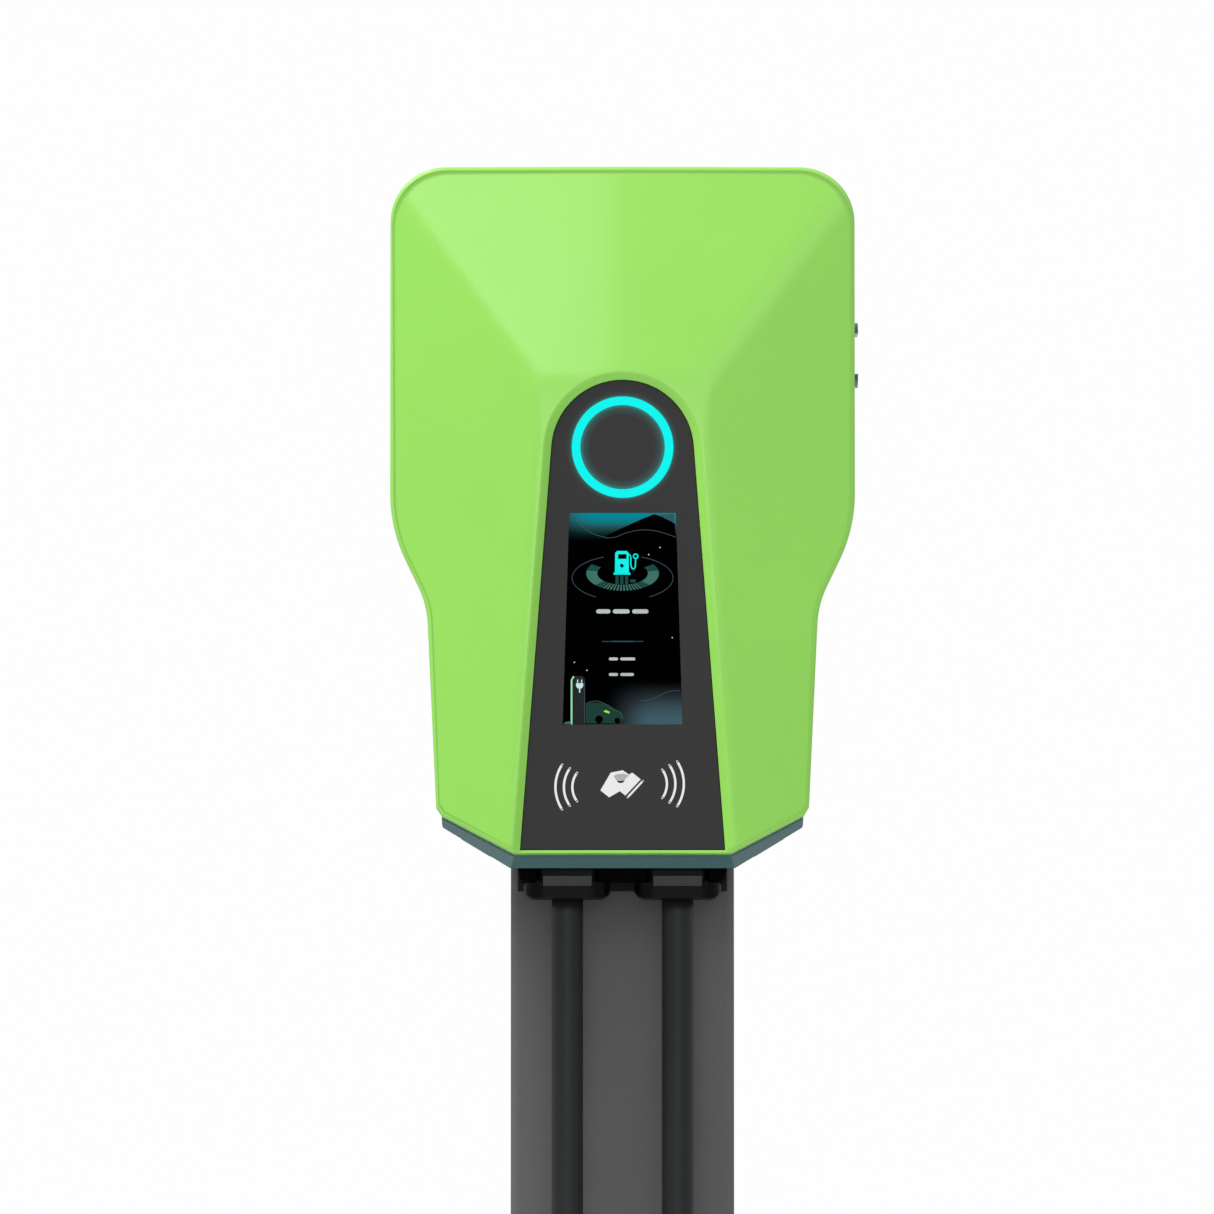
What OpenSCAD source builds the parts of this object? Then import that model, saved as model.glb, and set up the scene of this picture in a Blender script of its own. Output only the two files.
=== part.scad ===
// Electric vehicle charging post: a floor-standing column that carries a head with a screen,
// a card reader, a stop button and two parked charging connectors with their cables.
// Millimetres, +Z up. The origin is the centre of the base plate's underside, -Y is the front.

/* [Column] */
// Width of the column, across the front
column_w = 171; // [130:1:220]
// Depth of the column, front to back
column_d = 80; // [70:1:120]
// Wall of the column tube
column_wall = 3; // [2:0.5:5]
// How far the column reaches up into the head
column_reach = 52; // [30:1:80]
// Width of the base plate
base_w = 300; // [260:1:420]
// Depth of the base plate
base_d = 260; // [220:1:380]
// Thickness of the base plate
base_t = 12; // [8:1:20]
// Diameter of the anchor holes in the base plate
anchor_hole_d = 14; // [10:0.5:20]
// Distance of the anchor holes from the plate's edges
anchor_edge = 30; // [22:1:45]
// Diameter of the hole where the supply cables come up from the ground
entry_hole_d = 60; // [40:1:72]

/* [Head] */
// Height of the lower edge of the head's cover above the ground
head_z = 1101; // [900:1:1300]
// Width of the head across its upper part
head_w = 353; // [300:1:430]
// Width of the head at the neck
neck_w = 297; // [260:1:340]
// Width of the head above its lower corners
lower_w = 282; // [250:1:330]
// Height of the front cover
head_h = 523.5; // [440:0.5:640]
// Height of the shoulder, where the upper part starts to narrow
shoulder_h = 248; // [200:1:300]
// Height of the neck, where the narrowing ends
neck_h = 190; // [150:1:196]
// Height of the slanted lower corners
chamfer_h = 31; // [20:1:45]
// Depth of the front cover, from the seam to its rim
cover_depth = 42; // [40:1:60]
// Depth of the rear shell, from the seam to its back wall
shell_depth = 168; // [160:1:210]
// Wall of the mouldings
wall = 3.5; // [2.5:0.5:4.5]
// How far the rear shell stands in from the edge of the cover
shell_step = 4; // [2:0.5:6]
// How far the shell's chin drops below the cover
chin_drop = 9.5; // [5:0.5:14]

/* [Panel] */
// Width of the dark panel at its foot
panel_foot_w = 154; // [140:1:160]
// Radius of the panel's arched top
arch_r = 53.5; // [46:0.5:58]
// Height of the arch's centre above the cover's lower edge
arch_h = 305; // [290:1:330]
// Width of the sloping wall round the panel
rim_w = 7.6; // [5:0.1:10]
// Depth of the panel below the rim
recess = 4.5; // [3:0.5:6]
// Thickness of the panel
panel_t = 4; // [3:0.5:6]
// Outside diameter of the light ring
ring_d = 77; // [60:1:84]
// Width of the light ring's band
ring_band = 6.6; // [4:0.2:10]
// Height of the screen
screen_h = 160; // [120:1:170]
// Width of the screen at its top
screen_top_w = 80.6; // [70:0.2:86]
// Width of the screen at its foot
screen_foot_w = 90.4; // [80:0.2:96]

/* [Connectors] */
// Distance between the two connectors
connector_pitch = 84; // [76:1:90]
// Width of a connector's collar
collar_w = 66; // [56:1:74]
// Depth of a connector's collar
collar_d = 56; // [48:1:60]
// Height of a connector's collar
collar_h = 12; // [10:0.5:16]
// Diameter of a connector's round nose
nose_d = 50; // [40:1:52]
// Height of the square body on the collar
body_h = 20; // [16:1:24]
// Length of a connector's nose
nose_h = 80; // [70:1:90]
// Diameter of a charging cable
cable_d = 24; // [20:1:28]

/* [Stop button] */
// Diameter of the stop button
stop_d = 28; // [22:1:29]
// Travel of the stop button
stop_travel = 4; // [2:0.5:5]
// Outside diameter of the guard round the stop button
guard_d = 50; // [44:1:60]

/* [Hidden] */
$fn = 96;
fit = 0.3;             // clearance between pieces that are put together
big = 3000;            // larger than anything here
cut = 1;               // how far a cut runs past the faces that it opens

// Depths, from the front (-Y) to the back
column_front = -column_d / 2;
pocket_d = collar_d + 22;             // room in front of the column for the connectors
seam_y = column_front - pocket_d - wall - 0.5;
front_y = seam_y - cover_depth;
back_y = seam_y + shell_depth;
connector_y = column_front - 8 - collar_d / 2;
panel_y = front_y + recess;
panel_back_y = panel_y + panel_t;
gasket_t = 1.5;

// Heights
column_top = head_z + column_reach;
cap_t = 6;
panel_gap = 3.2;                        // green lip below the panel
ring_z = head_z + arch_h + 3;
screen_z = head_z + 98;
reader_z = head_z + 50;
stop_z = head_z + 386;
top_slope_z = head_z + arch_h + arch_r + panel_gap + rim_w + 2;

// The cover's slopes, as the fall towards the back for each millimetre sideways or upwards
flank_fall = 0.27;
top_fall = 0.176;
ridge_fall = 0.04;
rim_lean = 0.06;

// The head's outline
foot_w = column_w - 7;
shell_foot_w = column_w;
top_r = 42;
shoulder_r = 116;
neck_r = 77;
lower_r = 7;
foot_r = 2;
chin_d = 10;           // depth of the chin's sloping face
chin_rise = 0.056;     // rise of the underside for each millimetre towards the back

// Chassis inside the head
plate_t = 3;
plate_w = 200;
plate_y = back_y - wall - 8;
plate_z = column_top + cap_t;
plate_h = head_h - column_reach - cap_t - 60;

// Connector
connector_x = connector_pitch / 2;
collar_z = head_z - 32;                // underside of a parked connector
collar_top = collar_z + collar_h;
body_w = 46;
body_d = nose_d;
body_top = collar_top + body_h;
nose_top = body_top + nose_h;
window_w = 38;
window_h = 9;
window_z = collar_z + 8.5;
window_depth = 16;
trigger_travel = 4;
socket_gap = 1;                        // between a nose and its socket
grommet_l = 8;
grommet_d = cable_d + 6;

// Cables: each drops from its connector, lies in a coil beside the base and enters the column
coil_r = 144;                          // middle of the turns
coil_lift = 2;                         // the ties lie under the coil
coil_x = base_w / 2 + 188;
coil_y = -20;
turn_r = coil_r + cable_d / 2;         // middle of the outer turns
coil_low = coil_lift + cable_d / 2;    // middle of the lower turns
coil_high = coil_low + cable_d;
coil_front = coil_y - turn_r;
coil_back = coil_y + turn_r;
gland_y = 18;
gland_z = 110;
gland_l = 48;                          // from the column to the end of the bend relief
gland_x = column_w / 2 + gland_l;
tie_t = 1.5;
tie_w = 14;
run_points = [
    [connector_x, connector_y, collar_z],
    [connector_x, connector_y, collar_z - 110],
    [connector_x, connector_y, collar_z - 270],
    [connector_x, connector_y, collar_z - 430],
    [connector_x, connector_y - 1, coil_low + 486],
    [connector_x, connector_y - 5, coil_low + 366],
    [connector_x + 1, connector_y - 14, coil_low + 276],
    [connector_x + 4, connector_y - 29, coil_low + 201],
    [coil_x - 284, coil_front + 50, coil_low + 136],
    [coil_x - 268, coil_front + 28, coil_low + 81],
    [coil_x - 242, coil_front + 11, coil_low + 40],
    [coil_x - 206, coil_front + 4, coil_low + 12],
    [coil_x - 168, coil_front + 1, coil_low + 1],
    [coil_x - 130, coil_front, coil_low + 2],
    [coil_x - 88, coil_front, coil_low + 11],
    [coil_x - 48, coil_front, coil_high - 4],
    [coil_x, coil_front, coil_high]
];
tail_points = [
    [gland_x, gland_y, gland_z],
    [gland_x + 18, gland_y, gland_z],
    [gland_x + 36, gland_y + 10, gland_z - 3],
    [gland_x + 52, gland_y + 34, gland_z - 13],
    [gland_x + 68, gland_y + 64, gland_z - 30],
    [gland_x + 88, coil_back - 26, coil_low + 38],
    [gland_x + 112, coil_back - 8, coil_low + 18],
    [gland_x + 140, coil_back - 1, coil_low + 6],
    [coil_x - 34, coil_back, coil_low + 1],
    [coil_x, coil_back, coil_low]
];

// Which piece to draw

// ---------- outlines ----------

function unit(v) = v / norm(v);

function turn(a, b) = a[0] * b[1] - a[1] * b[0];

// The inward normal of the edge from a to b of an outline that runs anticlockwise
function inward(a, b) = let (e = unit(b - a)) [-e[1], e[0]];

function near(points, i, step) = points[(i + step + len(points)) % len(points)];

// An outline with every edge moved inwards by d
function inset(points, d) = [
    for (i = [0 : len(points) - 1])
        let (
            n = inward(near(points, i, -1), points[i]),
            m = inward(points[i], near(points, i, 1))
        )
        points[i] + (n + m) * d / (1 + n * m)
];

// The arc that rounds one corner
function corner_arc(before, corner, after, r, steps) =
    let (
        a = unit(before - corner),
        b = unit(after - corner),
        half = acos(a * b) / 2,
        centre = corner + unit(a + b) * r / sin(half),
        start = corner + a * r / tan(half) - centre,
        first = atan2(start[1], start[0]),
        sweep = (turn(a, b) < 0 ? 1 : -1) * (180 - 2 * half)
    )
    [
        for (k = [0 : steps])
            let (angle = first + sweep * k / steps)
            centre + r * [cos(angle), sin(angle)]
    ];

// An outline with its corners rounded; d is how far it has been moved inwards
function rounded(points, radii, d = 0, steps = 8) = [
    for (i = [0 : len(points) - 1])
        let (
            before = near(points, i, -1),
            after = near(points, i, 1),
            hollow = turn(points[i] - before, after - points[i]) < 0
        )
        each corner_arc(before, points[i], after, hollow ? radii[i] + d : max(radii[i] - d, 0.5), steps)
];

function mirrored(points) = [for (i = [len(points) - 1 : -1 : 0]) [-points[i][0], points[i][1]]];

function both_sides(half) = concat(half, mirrored(half));

// Right half of the cover's outline, from the foot up, above the cover's lower edge
cover_half = [
    [foot_w / 2, 0],
    [lower_w / 2, chamfer_h],
    [neck_w / 2, neck_h],
    [head_w / 2, shoulder_h],
    [head_w / 2, head_h]
];
half_radii = [foot_r, lower_r, neck_r, shoulder_r, top_r];
outline_radii = concat(half_radii, [for (i = [4 : -1 : 0]) half_radii[i]]);

stepped = inset(both_sides(cover_half), shell_step);
shell_foot = [shell_foot_w / 2, -chin_drop];
shell_corner = [lower_w / 2 - shell_step, chamfer_h - chin_drop];
shell_half = [shell_foot, shell_corner, stepped[2], stepped[3], stepped[4]];

function cover_outline(d) = rounded(inset(both_sides(cover_half), d), outline_radii, d);

function shell_outline(d) = rounded(inset(both_sides(shell_half), d), outline_radii, d + shell_step);

// The panel's outline: straight sides that meet an arch; d moves it outwards
function panel_outline(d) =
    let (
        foot = [panel_foot_w / 2 + d, panel_gap - d],
        centre = [0, arch_h],
        r = arch_r + d,
        to_foot = foot - centre,
        meet = atan2(to_foot[1], to_foot[0]) + acos(r / norm(to_foot)),
        steps = 32,
        arch = [
            for (k = [0 : steps])
                let (angle = meet + (180 - 2 * meet) * k / steps)
                centre + r * [cos(angle), sin(angle)]
        ]
    )
    concat([foot], arch, [[-foot[0], foot[1]]]);

function screen_outline(d) = [
    [screen_foot_w / 2 + d, -d],
    [screen_top_w / 2 + d, screen_h + d],
    [-screen_top_w / 2 - d, screen_h + d],
    [-screen_foot_w / 2 - d, -d]
];

// ---------- building shapes ----------

// An upright outline, its second value as height above z, drawn from depth y0 to depth y1
module upright(outline, y0, y1, z = head_z) {
    translate([0, y1, z])
        rotate([90, 0, 0])
            linear_extrude(y1 - y0)
                polygon(outline);
}

// Everything on the far side of a plane, moved back along its normal by d
module beyond(point, normal, d = 0) {
    n = unit(normal);
    translate(point - n * d)
        rotate([0, acos(n[2]), atan2(n[1], n[0])])
            translate([-big / 2, -big / 2, 0])
                cube([big, big, big]);
}

module block(size, at) {
    translate(at)
        translate([-size[0] / 2, -size[1] / 2, 0])
            cube(size);
}

// A block with rounded upright edges
module soft_block(size, at, r) {
    translate(at)
        linear_extrude(size[2])
            union() {
                square([size[0] - 2 * r, size[1]], center = true);
                square([size[0], size[1] - 2 * r], center = true);
                for (x = [-1, 1], y = [-1, 1])
                    translate([x * (size[0] / 2 - r), y * (size[1] / 2 - r)])
                        circle(r, $fn = 32);
            }
}

// A rod from a point, along +Y or along +X
module rod_y(d, l, at) {
    translate(at)
        rotate([-90, 0, 0])
            cylinder(h = l, d = d);
}

module rod_x(d, l, at) {
    translate(at)
        rotate([0, 90, 0])
            cylinder(h = l, d = d);
}

// A pan-head screw along +Y, its head at the front
module screw_y(d, l, at) {
    rod_y(d * 1.9, d * 0.6, at - [0, d * 0.6, 0]);
    rod_y(d, l, at);
}

// ---------- column and base ----------

anchors = [
    for (x = [-1, 1], y = [-1, 1])
        [x * (base_w / 2 - anchor_edge), y * (base_d / 2 - anchor_edge)]
];

module base_plate() {
    color("dimgray")
        difference() {
            soft_block([base_w, base_d, base_t], [0, 0, 0], 18);
            for (a = anchors)
                translate([a[0], a[1], -cut])
                    cylinder(h = base_t + 2 * cut, d = anchor_hole_d);
            translate([0, 0, -cut])
                cylinder(h = base_t + 2 * cut, d = entry_hole_d);
        }
}

gusset_h = 60;
gusset_nose = 8;
gusset_l = min((base_w - column_w) / 2 - 14, 50);
gusset_t = 6;

// Four ribs that stiffen the foot of the column, two at each side
module base_gussets() {
    color("dimgray")
        for (side = [-1, 1], y = [-1, 1])
            translate([side * column_w / 2, y * (column_d / 2 - 10) + gusset_t / 2, base_t])
                rotate([90, 0, 0])
                    linear_extrude(gusset_t)
                        polygon([
                            [0, 0], [side * gusset_l, 0], [side * gusset_l, gusset_nose],
                            [side * gusset_nose, gusset_h], [0, gusset_h]
                        ]);
}

column_r = 6;
hatch_w = column_w - 58;
hatch_h = 240;
hatch_z = 180;
hatch_lap = 14;
hatch_screws = [
    for (x = [-1, 1], z = [-1, 1])
        [x * (hatch_w + hatch_lap) / 2, hatch_z + hatch_h / 2 + z * (hatch_h / 2 - 16)]
];
m5 = 5;

module column() {
    color("dimgray")
        difference() {
            soft_block([column_w, column_d, column_top - base_t], [0, 0, base_t], column_r);
            soft_block(
                [column_w - 2 * column_wall, column_d - 2 * column_wall, column_top],
                [0, 0, base_t - cut],
                column_r - column_wall
            );
            block([hatch_w, 3 * column_wall, hatch_h], [0, column_d / 2, hatch_z]);
            for (s = hatch_screws)
                rod_y(m5, 4 * column_wall, [s[0], column_d / 2 - 2 * column_wall, s[1]]);
            for (side = [-1, 1])
                rod_x(
                    gland_thread_d + 2 * fit, 4 * column_wall,
                    [side * column_w / 2 - 2 * column_wall, gland_y, gland_z]
                );
            for (x = bracket_screws, z = bracket_heights)
                rod_y(m5, 4 * column_wall, [x, column_front - 2 * column_wall, z]);
        }
}

// The plate welded into the top of the column, which carries the head
module column_cap() {
    color("dimgray")
        difference() {
            block([column_w, column_d, cap_t], [0, 0, column_top]);
            translate([0, 0, column_top - cut])
                cylinder(h = cap_t + 2 * cut, d = entry_hole_d - 10);
            for (x = cap_bolts)
                translate([x, cap_bolt_y, column_top - cut])
                    cylinder(h = cap_t + 2 * cut, d = m8);
        }
}

cover_t = 2;

// The plate over the service hatch in the back of the column
module service_cover() {
    color("gray")
        difference() {
            translate([0, column_d / 2 + cover_t, hatch_z + hatch_h / 2])
                rotate([90, 0, 0])
                    linear_extrude(cover_t)
                        square([hatch_w + 2 * hatch_lap, hatch_h + 2 * hatch_lap], center = true);
            for (s = hatch_screws)
                rod_y(m5 + fit, 4 * cover_t, [s[0], column_d / 2 - cover_t, s[1]]);
        }
}

module service_screws() {
    color("silver")
        for (s = hatch_screws)
            mirror([0, 1, 0])
                screw_y(m5 - 0.2, column_wall + cover_t + 6, [s[0], -column_d / 2 - cover_t, s[1]]);
}

terminal_h = 46;

// Supply terminals on the column's side wall, reached through the hatch
module supply_terminals() {
    color("orange")
        for (i = [0 : 3])
            block(
                [28, 13, terminal_h],
                [column_w / 2 - column_wall - 14, -20 + i * 13.4, hatch_z + 120]
            );
}

module earth_stud() {
    color("gold") {
        rod_x(8, 26, [-column_w / 2 + column_wall, 0, hatch_z + 150]);
        rod_x(16, 5, [-column_w / 2 + column_wall, 0, hatch_z + 150]);
        rod_x(14, 6, [-column_w / 2 + column_wall + 12, 0, hatch_z + 150]);
    }
}

gland_thread_d = 32;
gland_nut_d = 36;

// A cable gland: nut inside the wall, body outside and a tapered bend relief
module cable_gland(side) {
    color("black")
        translate([side * column_w / 2, gland_y, gland_z])
            rotate([0, side * 90, 0])
                difference() {
                    union() {
                        translate([0, 0, -column_wall - 6])
                            cylinder(h = 6, d = gland_nut_d, $fn = 6);
                        translate([0, 0, -column_wall])
                            cylinder(h = column_wall, d = gland_thread_d);
                        cylinder(h = 14, d = gland_nut_d, $fn = 6);
                        translate([0, 0, 14])
                            cylinder(h = gland_l - 14, d1 = gland_nut_d - 4, d2 = cable_d + 4);
                    }
                    translate([0, 0, -column_wall - 6 - cut])
                        cylinder(h = column_wall + 6 + gland_l - 10 + cut, d = cable_d - 4);
                }
}

module left_cable_gland() {
    cable_gland(-1);
}

module right_cable_gland() {
    cable_gland(1);
}

// ---------- rear shell and front cover ----------

// The body of the rear shell, moved inwards by d
module shell_form(d) {
    chin_y = seam_y + chin_d;
    low = head_z - chin_drop;
    foot = [shell_foot[0], chin_y, head_z + shell_foot[1]];
    corner = [shell_corner[0], chin_y, head_z + shell_corner[1]];
    back_foot = foot + [0, 100, 100 * chin_rise];
    seam_foot = [foot_w / 2, seam_y, head_z];
    seam_corner = [lower_w / 2, seam_y, head_z + chamfer_h];
    chin_normal = cross(foot - seam_foot, seam_corner - seam_foot);
    under_normal = cross(back_foot - foot, corner - foot);
    difference() {
        upright(shell_outline(d), seam_y + gasket_t - (d > 0 ? 20 : 0), back_y - d);
        beyond([0, seam_y, head_z], [0, -chin_drop, -chin_d], d);
        beyond([0, chin_y, low], [0, chin_rise, -1], d);
        for (side = [-1, 1]) {
            flip = [side, 1, 1];
            beyond(flipped(seam_foot, flip), flipped(chin_normal, flip), d);
            beyond(flipped(foot, flip), flipped(under_normal, flip), d);
        }
    }
}

function flipped(v, by) = [v[0] * by[0], v[1] * by[1], v[2] * by[2]];

// The places of the screws that pull the cover on to the shell
boss_inset = wall + shell_step + 6;
cover_bosses = [
    for (side = [-1, 1])
        each [
            [side * (head_w / 2 - boss_inset), head_z + head_h - 60],
            [side * (head_w / 2 - boss_inset), head_z + shoulder_h + 40],
            [side * (lower_w / 2 - boss_inset), head_z + chamfer_h + 30]
        ]
];
boss_d = 13;
m4 = 4;

module rear_shell() {
    floor_w = column_w + 2 * fit;
    pocket_front = connector_y - collar_d / 2 - 1.5;
    color("cadetblue")
        difference() {
            union() {
                difference() {
                    shell_form(0);
                    shell_form(wall);
                }
                intersection() {
                    shell_form(0.5);
                    union() {
                        for (b = cover_bosses)
                            rod_y(boss_d, shell_depth - gasket_t, [b[0], seam_y + gasket_t, b[1]]);
                        rod_x(guard_d, 40, [shell_side - seat_t, stop_y, stop_z]);
                        for (x = [-1, 1], z = chassis_heights)
                            rod_y(12, 20, [x * chassis_bolt_x, plate_y + plate_t, z]);
                    }
                }
                for (side = [-1, 1])
                    shell_vent(side);
            }
            block(
                [floor_w, column_d / 2 + fit - pocket_front, 60],
                [0, (column_d / 2 + fit + pocket_front) / 2, head_z - 40]
            );
            for (b = cover_bosses) {
                rod_y(m4, shell_depth + 2 * cut, [b[0], seam_y - cut, b[1]]);
                rod_y(9, shell_depth, [b[0], seam_y + 26, b[1]]);
            }
            rod_x(stop_d + 2 * fit, 60, [shell_side - 50, stop_y, stop_z]);
            for (x = [-1, 1], z = chassis_heights)
                rod_y(m5, back_y - plate_y, [x * chassis_bolt_x, plate_y + cut, z]);
        }
}

// Five raised vent slats under each slanted corner
module shell_vent(side) {
    slope = atan2(shell_corner[1] - shell_foot[1], shell_corner[0] - shell_foot[0]);
    middle = (shell_foot + shell_corner) / 2;
    for (i = [0 : 4]) {
        behind_chin = shell_depth / 2 - 20 + i * 14;
        translate([
            side * middle[0],
            seam_y + chin_d + behind_chin,
            head_z + middle[1] + chin_rise * behind_chin
        ])
            rotate([0, -side * slope, 0])
                block([26, 8, 4], [0, 0, -2]);
    }
}

module shell_gasket() {
    color("black")
        difference() {
            upright(cover_outline(shell_step + 0.6), seam_y, seam_y + gasket_t);
            upright(cover_outline(shell_step + wall), seam_y - cut, seam_y + gasket_t + cut);
        }
}

// The body of the front cover, moved inwards by d
module cover_form(d) {
    rim_foot = panel_foot_w / 2 + rim_w;
    difference() {
        upright(cover_outline(d), front_y + d, seam_y + (d > 0 ? cut : 0));
        for (side = [-1, 1]) {
            beyond([side * rim_foot, front_y, head_z], [side * flank_fall, -1, flank_fall * rim_lean], d);
            beyond([0, front_y, top_slope_z], [side * ridge_fall, -1, top_fall], d);
        }
    }
}

flange_w = 2 * wall + 1;
flange_t = 4;
ledge_w = 6;
tray_t = 3;

module front_cover() {
    color("greenyellow")
        difference() {
            union() {
                difference() {
                    cover_form(0);
                    cover_form(wall);
                }
                difference() {
                    upright(cover_outline(0), seam_y - flange_t, seam_y);
                    upright(cover_outline(flange_w), seam_y - flange_t - cut, seam_y + cut);
                }
                intersection() {
                    cover_form(0.5);
                    union() {
                        upright(panel_outline(wall), front_y, panel_back_y + tray_t);
                        for (b = cover_bosses)
                            rod_y(boss_d, cover_depth, [b[0], front_y, b[1]]);
                    }
                }
            }
            hull() {
                upright(panel_outline(rim_w), front_y - cut, front_y);
                upright(panel_outline(fit), panel_y - 0.1, panel_y);
            }
            upright(panel_outline(fit), panel_y - 0.5, panel_back_y);
            upright(panel_outline(-ledge_w), panel_y, panel_back_y + tray_t + cut);
            for (b = cover_bosses)
                rod_y(m4 - 0.6, 14, [b[0], seam_y - 11, b[1]]);
        }
}

// Long screws from the back of the shell into the cover
module cover_screws() {
    color("silver")
        for (b = cover_bosses) {
            rod_y(m4 - 0.8, 36, [b[0], seam_y - 9, b[1]]);
            rod_y(7.5, 4, [b[0], seam_y + 26, b[1]]);
        }
}

// ---------- panel and screen ----------

module front_panel() {
    color([0.24, 0.24, 0.24])
        difference() {
            upright(panel_outline(0), panel_y, panel_back_y);
            upright(screen_outline(fit / 2), panel_y - cut, panel_back_y + cut, screen_z);
            difference() {
                rod_y(ring_d, 2, [0, panel_y - cut, ring_z]);
                rod_y(ring_d - 2 * ring_band, 4, [0, panel_y - 2 * cut, ring_z]);
            }
        }
}

module light_ring() {
    color("cyan")
        difference() {
            rod_y(ring_d - 0.2, 1, [0, panel_y, ring_z]);
            rod_y(ring_d - 2 * ring_band + 0.2, 3, [0, panel_y - cut, ring_z]);
        }
}

module display_window() {
    color("midnightblue")
        upright(screen_outline(0), panel_y, panel_back_y, screen_z);
}

lcd_t = 8;

module display_module() {
    color("silver") {
        upright(screen_outline(2), panel_back_y, panel_back_y + lcd_t, screen_z);
        block([60, 6, 40], [0, panel_back_y + lcd_t + 3, screen_z + 30]);
    }
}

module light_board() {
    color("darkgreen")
        difference() {
            rod_y(ring_d + 8, 1.6, [0, panel_back_y + 1, ring_z]);
            rod_y(ring_d - 24, 4, [0, panel_back_y, ring_z]);
        }
    color("white")
        for (i = [0 : 23])
            translate([0, panel_back_y + 1, ring_z])
                rotate([0, i * 15, 0])
                    block([4, 1, 3], [0, -0.5, ring_d / 2 - ring_band / 2 - 1.5]);
}

module card_reader() {
    color("darkgreen")
        block([92, 1.6, 62], [0, panel_back_y + 1.4, reader_z - 31]);
    color("black") {
        block([20, 3, 14], [20, panel_back_y + 3.7, reader_z - 20]);
        for (x = [-1, 1], z = [-1, 1])
            rod_y(5, 0.6, [x * 40, panel_back_y, reader_z + z * 26]);
    }
}

module speaker() {
    at = [wall - shell_side, seam_y + 62, head_z + 330];
    color("black") {
        rod_x(40, 4, at);
        rod_x(28, 14, at);
    }
}

// ---------- chassis and electronics ----------

chassis_bolt_x = plate_w / 2 - 14;
chassis_heights = [plate_z + 40, plate_z + plate_h - 30];
cap_bolts = [-55, 55];
cap_bolt_y = 10;
m8 = 8;
foot_l = 60;
plate_fold = 24;

// A folded plate: its foot stands on the column's cap and its back carries the electronics
module chassis_plate() {
    color("silver")
        difference() {
            union() {
                block([plate_w, plate_t, plate_h], [0, plate_y + plate_t / 2, plate_z]);
                block([column_w - 8, foot_l, plate_t], [0, plate_y - foot_l / 2 + plate_t, plate_z]);
                for (side = [-1, 1])
                    block(
                        [plate_t, plate_fold, plate_h - 40],
                        [side * (plate_w - plate_t) / 2, plate_y - plate_fold / 2 + plate_t, plate_z + 20]
                    );
            }
            for (x = cap_bolts)
                translate([x, cap_bolt_y, plate_z - cut])
                    cylinder(h = plate_t + 2 * cut, d = m8 + fit);
            for (x = [-1, 1], z = chassis_heights)
                rod_y(m5 + fit, plate_t + 2 * cut, [x * chassis_bolt_x, plate_y - cut, z]);
        }
}

// The bolts that hold the chassis to the column's cap, and the shell's back to the chassis
module chassis_bolts() {
    color("silver") {
        for (x = cap_bolts)
            translate([x, cap_bolt_y, 0]) {
                translate([0, 0, plate_z + plate_t])
                    cylinder(h = 5.5, d = 13, $fn = 6);
                translate([0, 0, column_top - 10])
                    cylinder(h = plate_z + plate_t - column_top + 10, d = m8 - 0.2);
            }
        for (x = [-1, 1], z = chassis_heights)
            mirror([0, 1, 0])
                screw_y(m5 - 0.2, back_y - plate_y + 4, [x * chassis_bolt_x, -back_y, z]);
    }
}

board_w = 150;
board_h = 110;
board_z = plate_z + plate_h - board_h - 50;
spacer_l = 12;
board_edge = 6;
board_holes = [
    for (x = [-1, 1], z = [-1, 1])
        [x * (board_w / 2 - board_edge), board_z + board_h / 2 + z * (board_h / 2 - board_edge)]
];

module main_board() {
    face_y = plate_y - spacer_l - 1.6;
    color("darkgreen")
        difference() {
            block([board_w, 1.6, board_h], [0, face_y + 0.8, board_z]);
            for (h = board_holes)
                rod_y(3.4, 4, [h[0], face_y - 1, h[1]]);
        }
    color("black") {
        block([24, 3, 24], [-10, face_y - 1.5, board_z + 48]);
        block([14, 4, 20], [-46, face_y - 2, board_z + 60]);
        block([50, 10, 12], [30, face_y - 5, board_z + 4]);
        block([50, 10, 12], [-38, face_y - 5, board_z + 4]);
    }
    color("silver")
        for (i = [0 : 2])
            rod_y(12, 14, [28 + i * 16, face_y - 14, board_z + 84]);
}

module board_spacers() {
    color("gold")
        for (h = board_holes) {
            rod_y(6, spacer_l, [h[0], plate_y - spacer_l, h[1]]);
            rod_y(3, 5, [h[0], plate_y - spacer_l - 4.8, h[1]]);
        }
}

rail_z = plate_z + 150;
rail_t = 7.5;

module din_rail() {
    color("silver") {
        block([plate_w - 30, 1, 35], [0, plate_y - rail_t + 0.5, rail_z - 17.5]);
        for (x = [-1, 1])
            block([10, rail_t - 1, 20], [x * 70, plate_y - (rail_t - 1) / 2, rail_z - 10]);
    }
}

rail_face = plate_y - rail_t;

// A block on the mounting rail with a stepped front, as such devices have
module rail_device(w, h, depth, x) {
    block([w, depth * 0.7, h], [x, rail_face - depth * 0.35, rail_z - h / 2]);
    block([w, depth * 0.3, h * 0.55], [x, rail_face - depth * 0.85, rail_z - h * 0.275]);
}

module breaker() {
    color("lightgray") {
        rail_device(35, 84, 60, -62);
        block([12, 6, 16], [-62, rail_face - 63, rail_z - 8]);
    }
}

module energy_meters() {
    color("white")
        for (x = [-22, 15])
            rail_device(35, 90, 56, x);
}

module contactors() {
    color("dimgray")
        for (x = [-50, 50]) {
            soft_block([54, 62, 70], [x, plate_y - 31, plate_z + 22], 4);
            for (s = [-1, 1])
                translate([x + s * 14, plate_y - 31, plate_z + 92])
                    cylinder(h = 12, d = 8);
        }
}

module power_supply() {
    color("silver")
        rail_device(42, 92, 62, 58);
}

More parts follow.
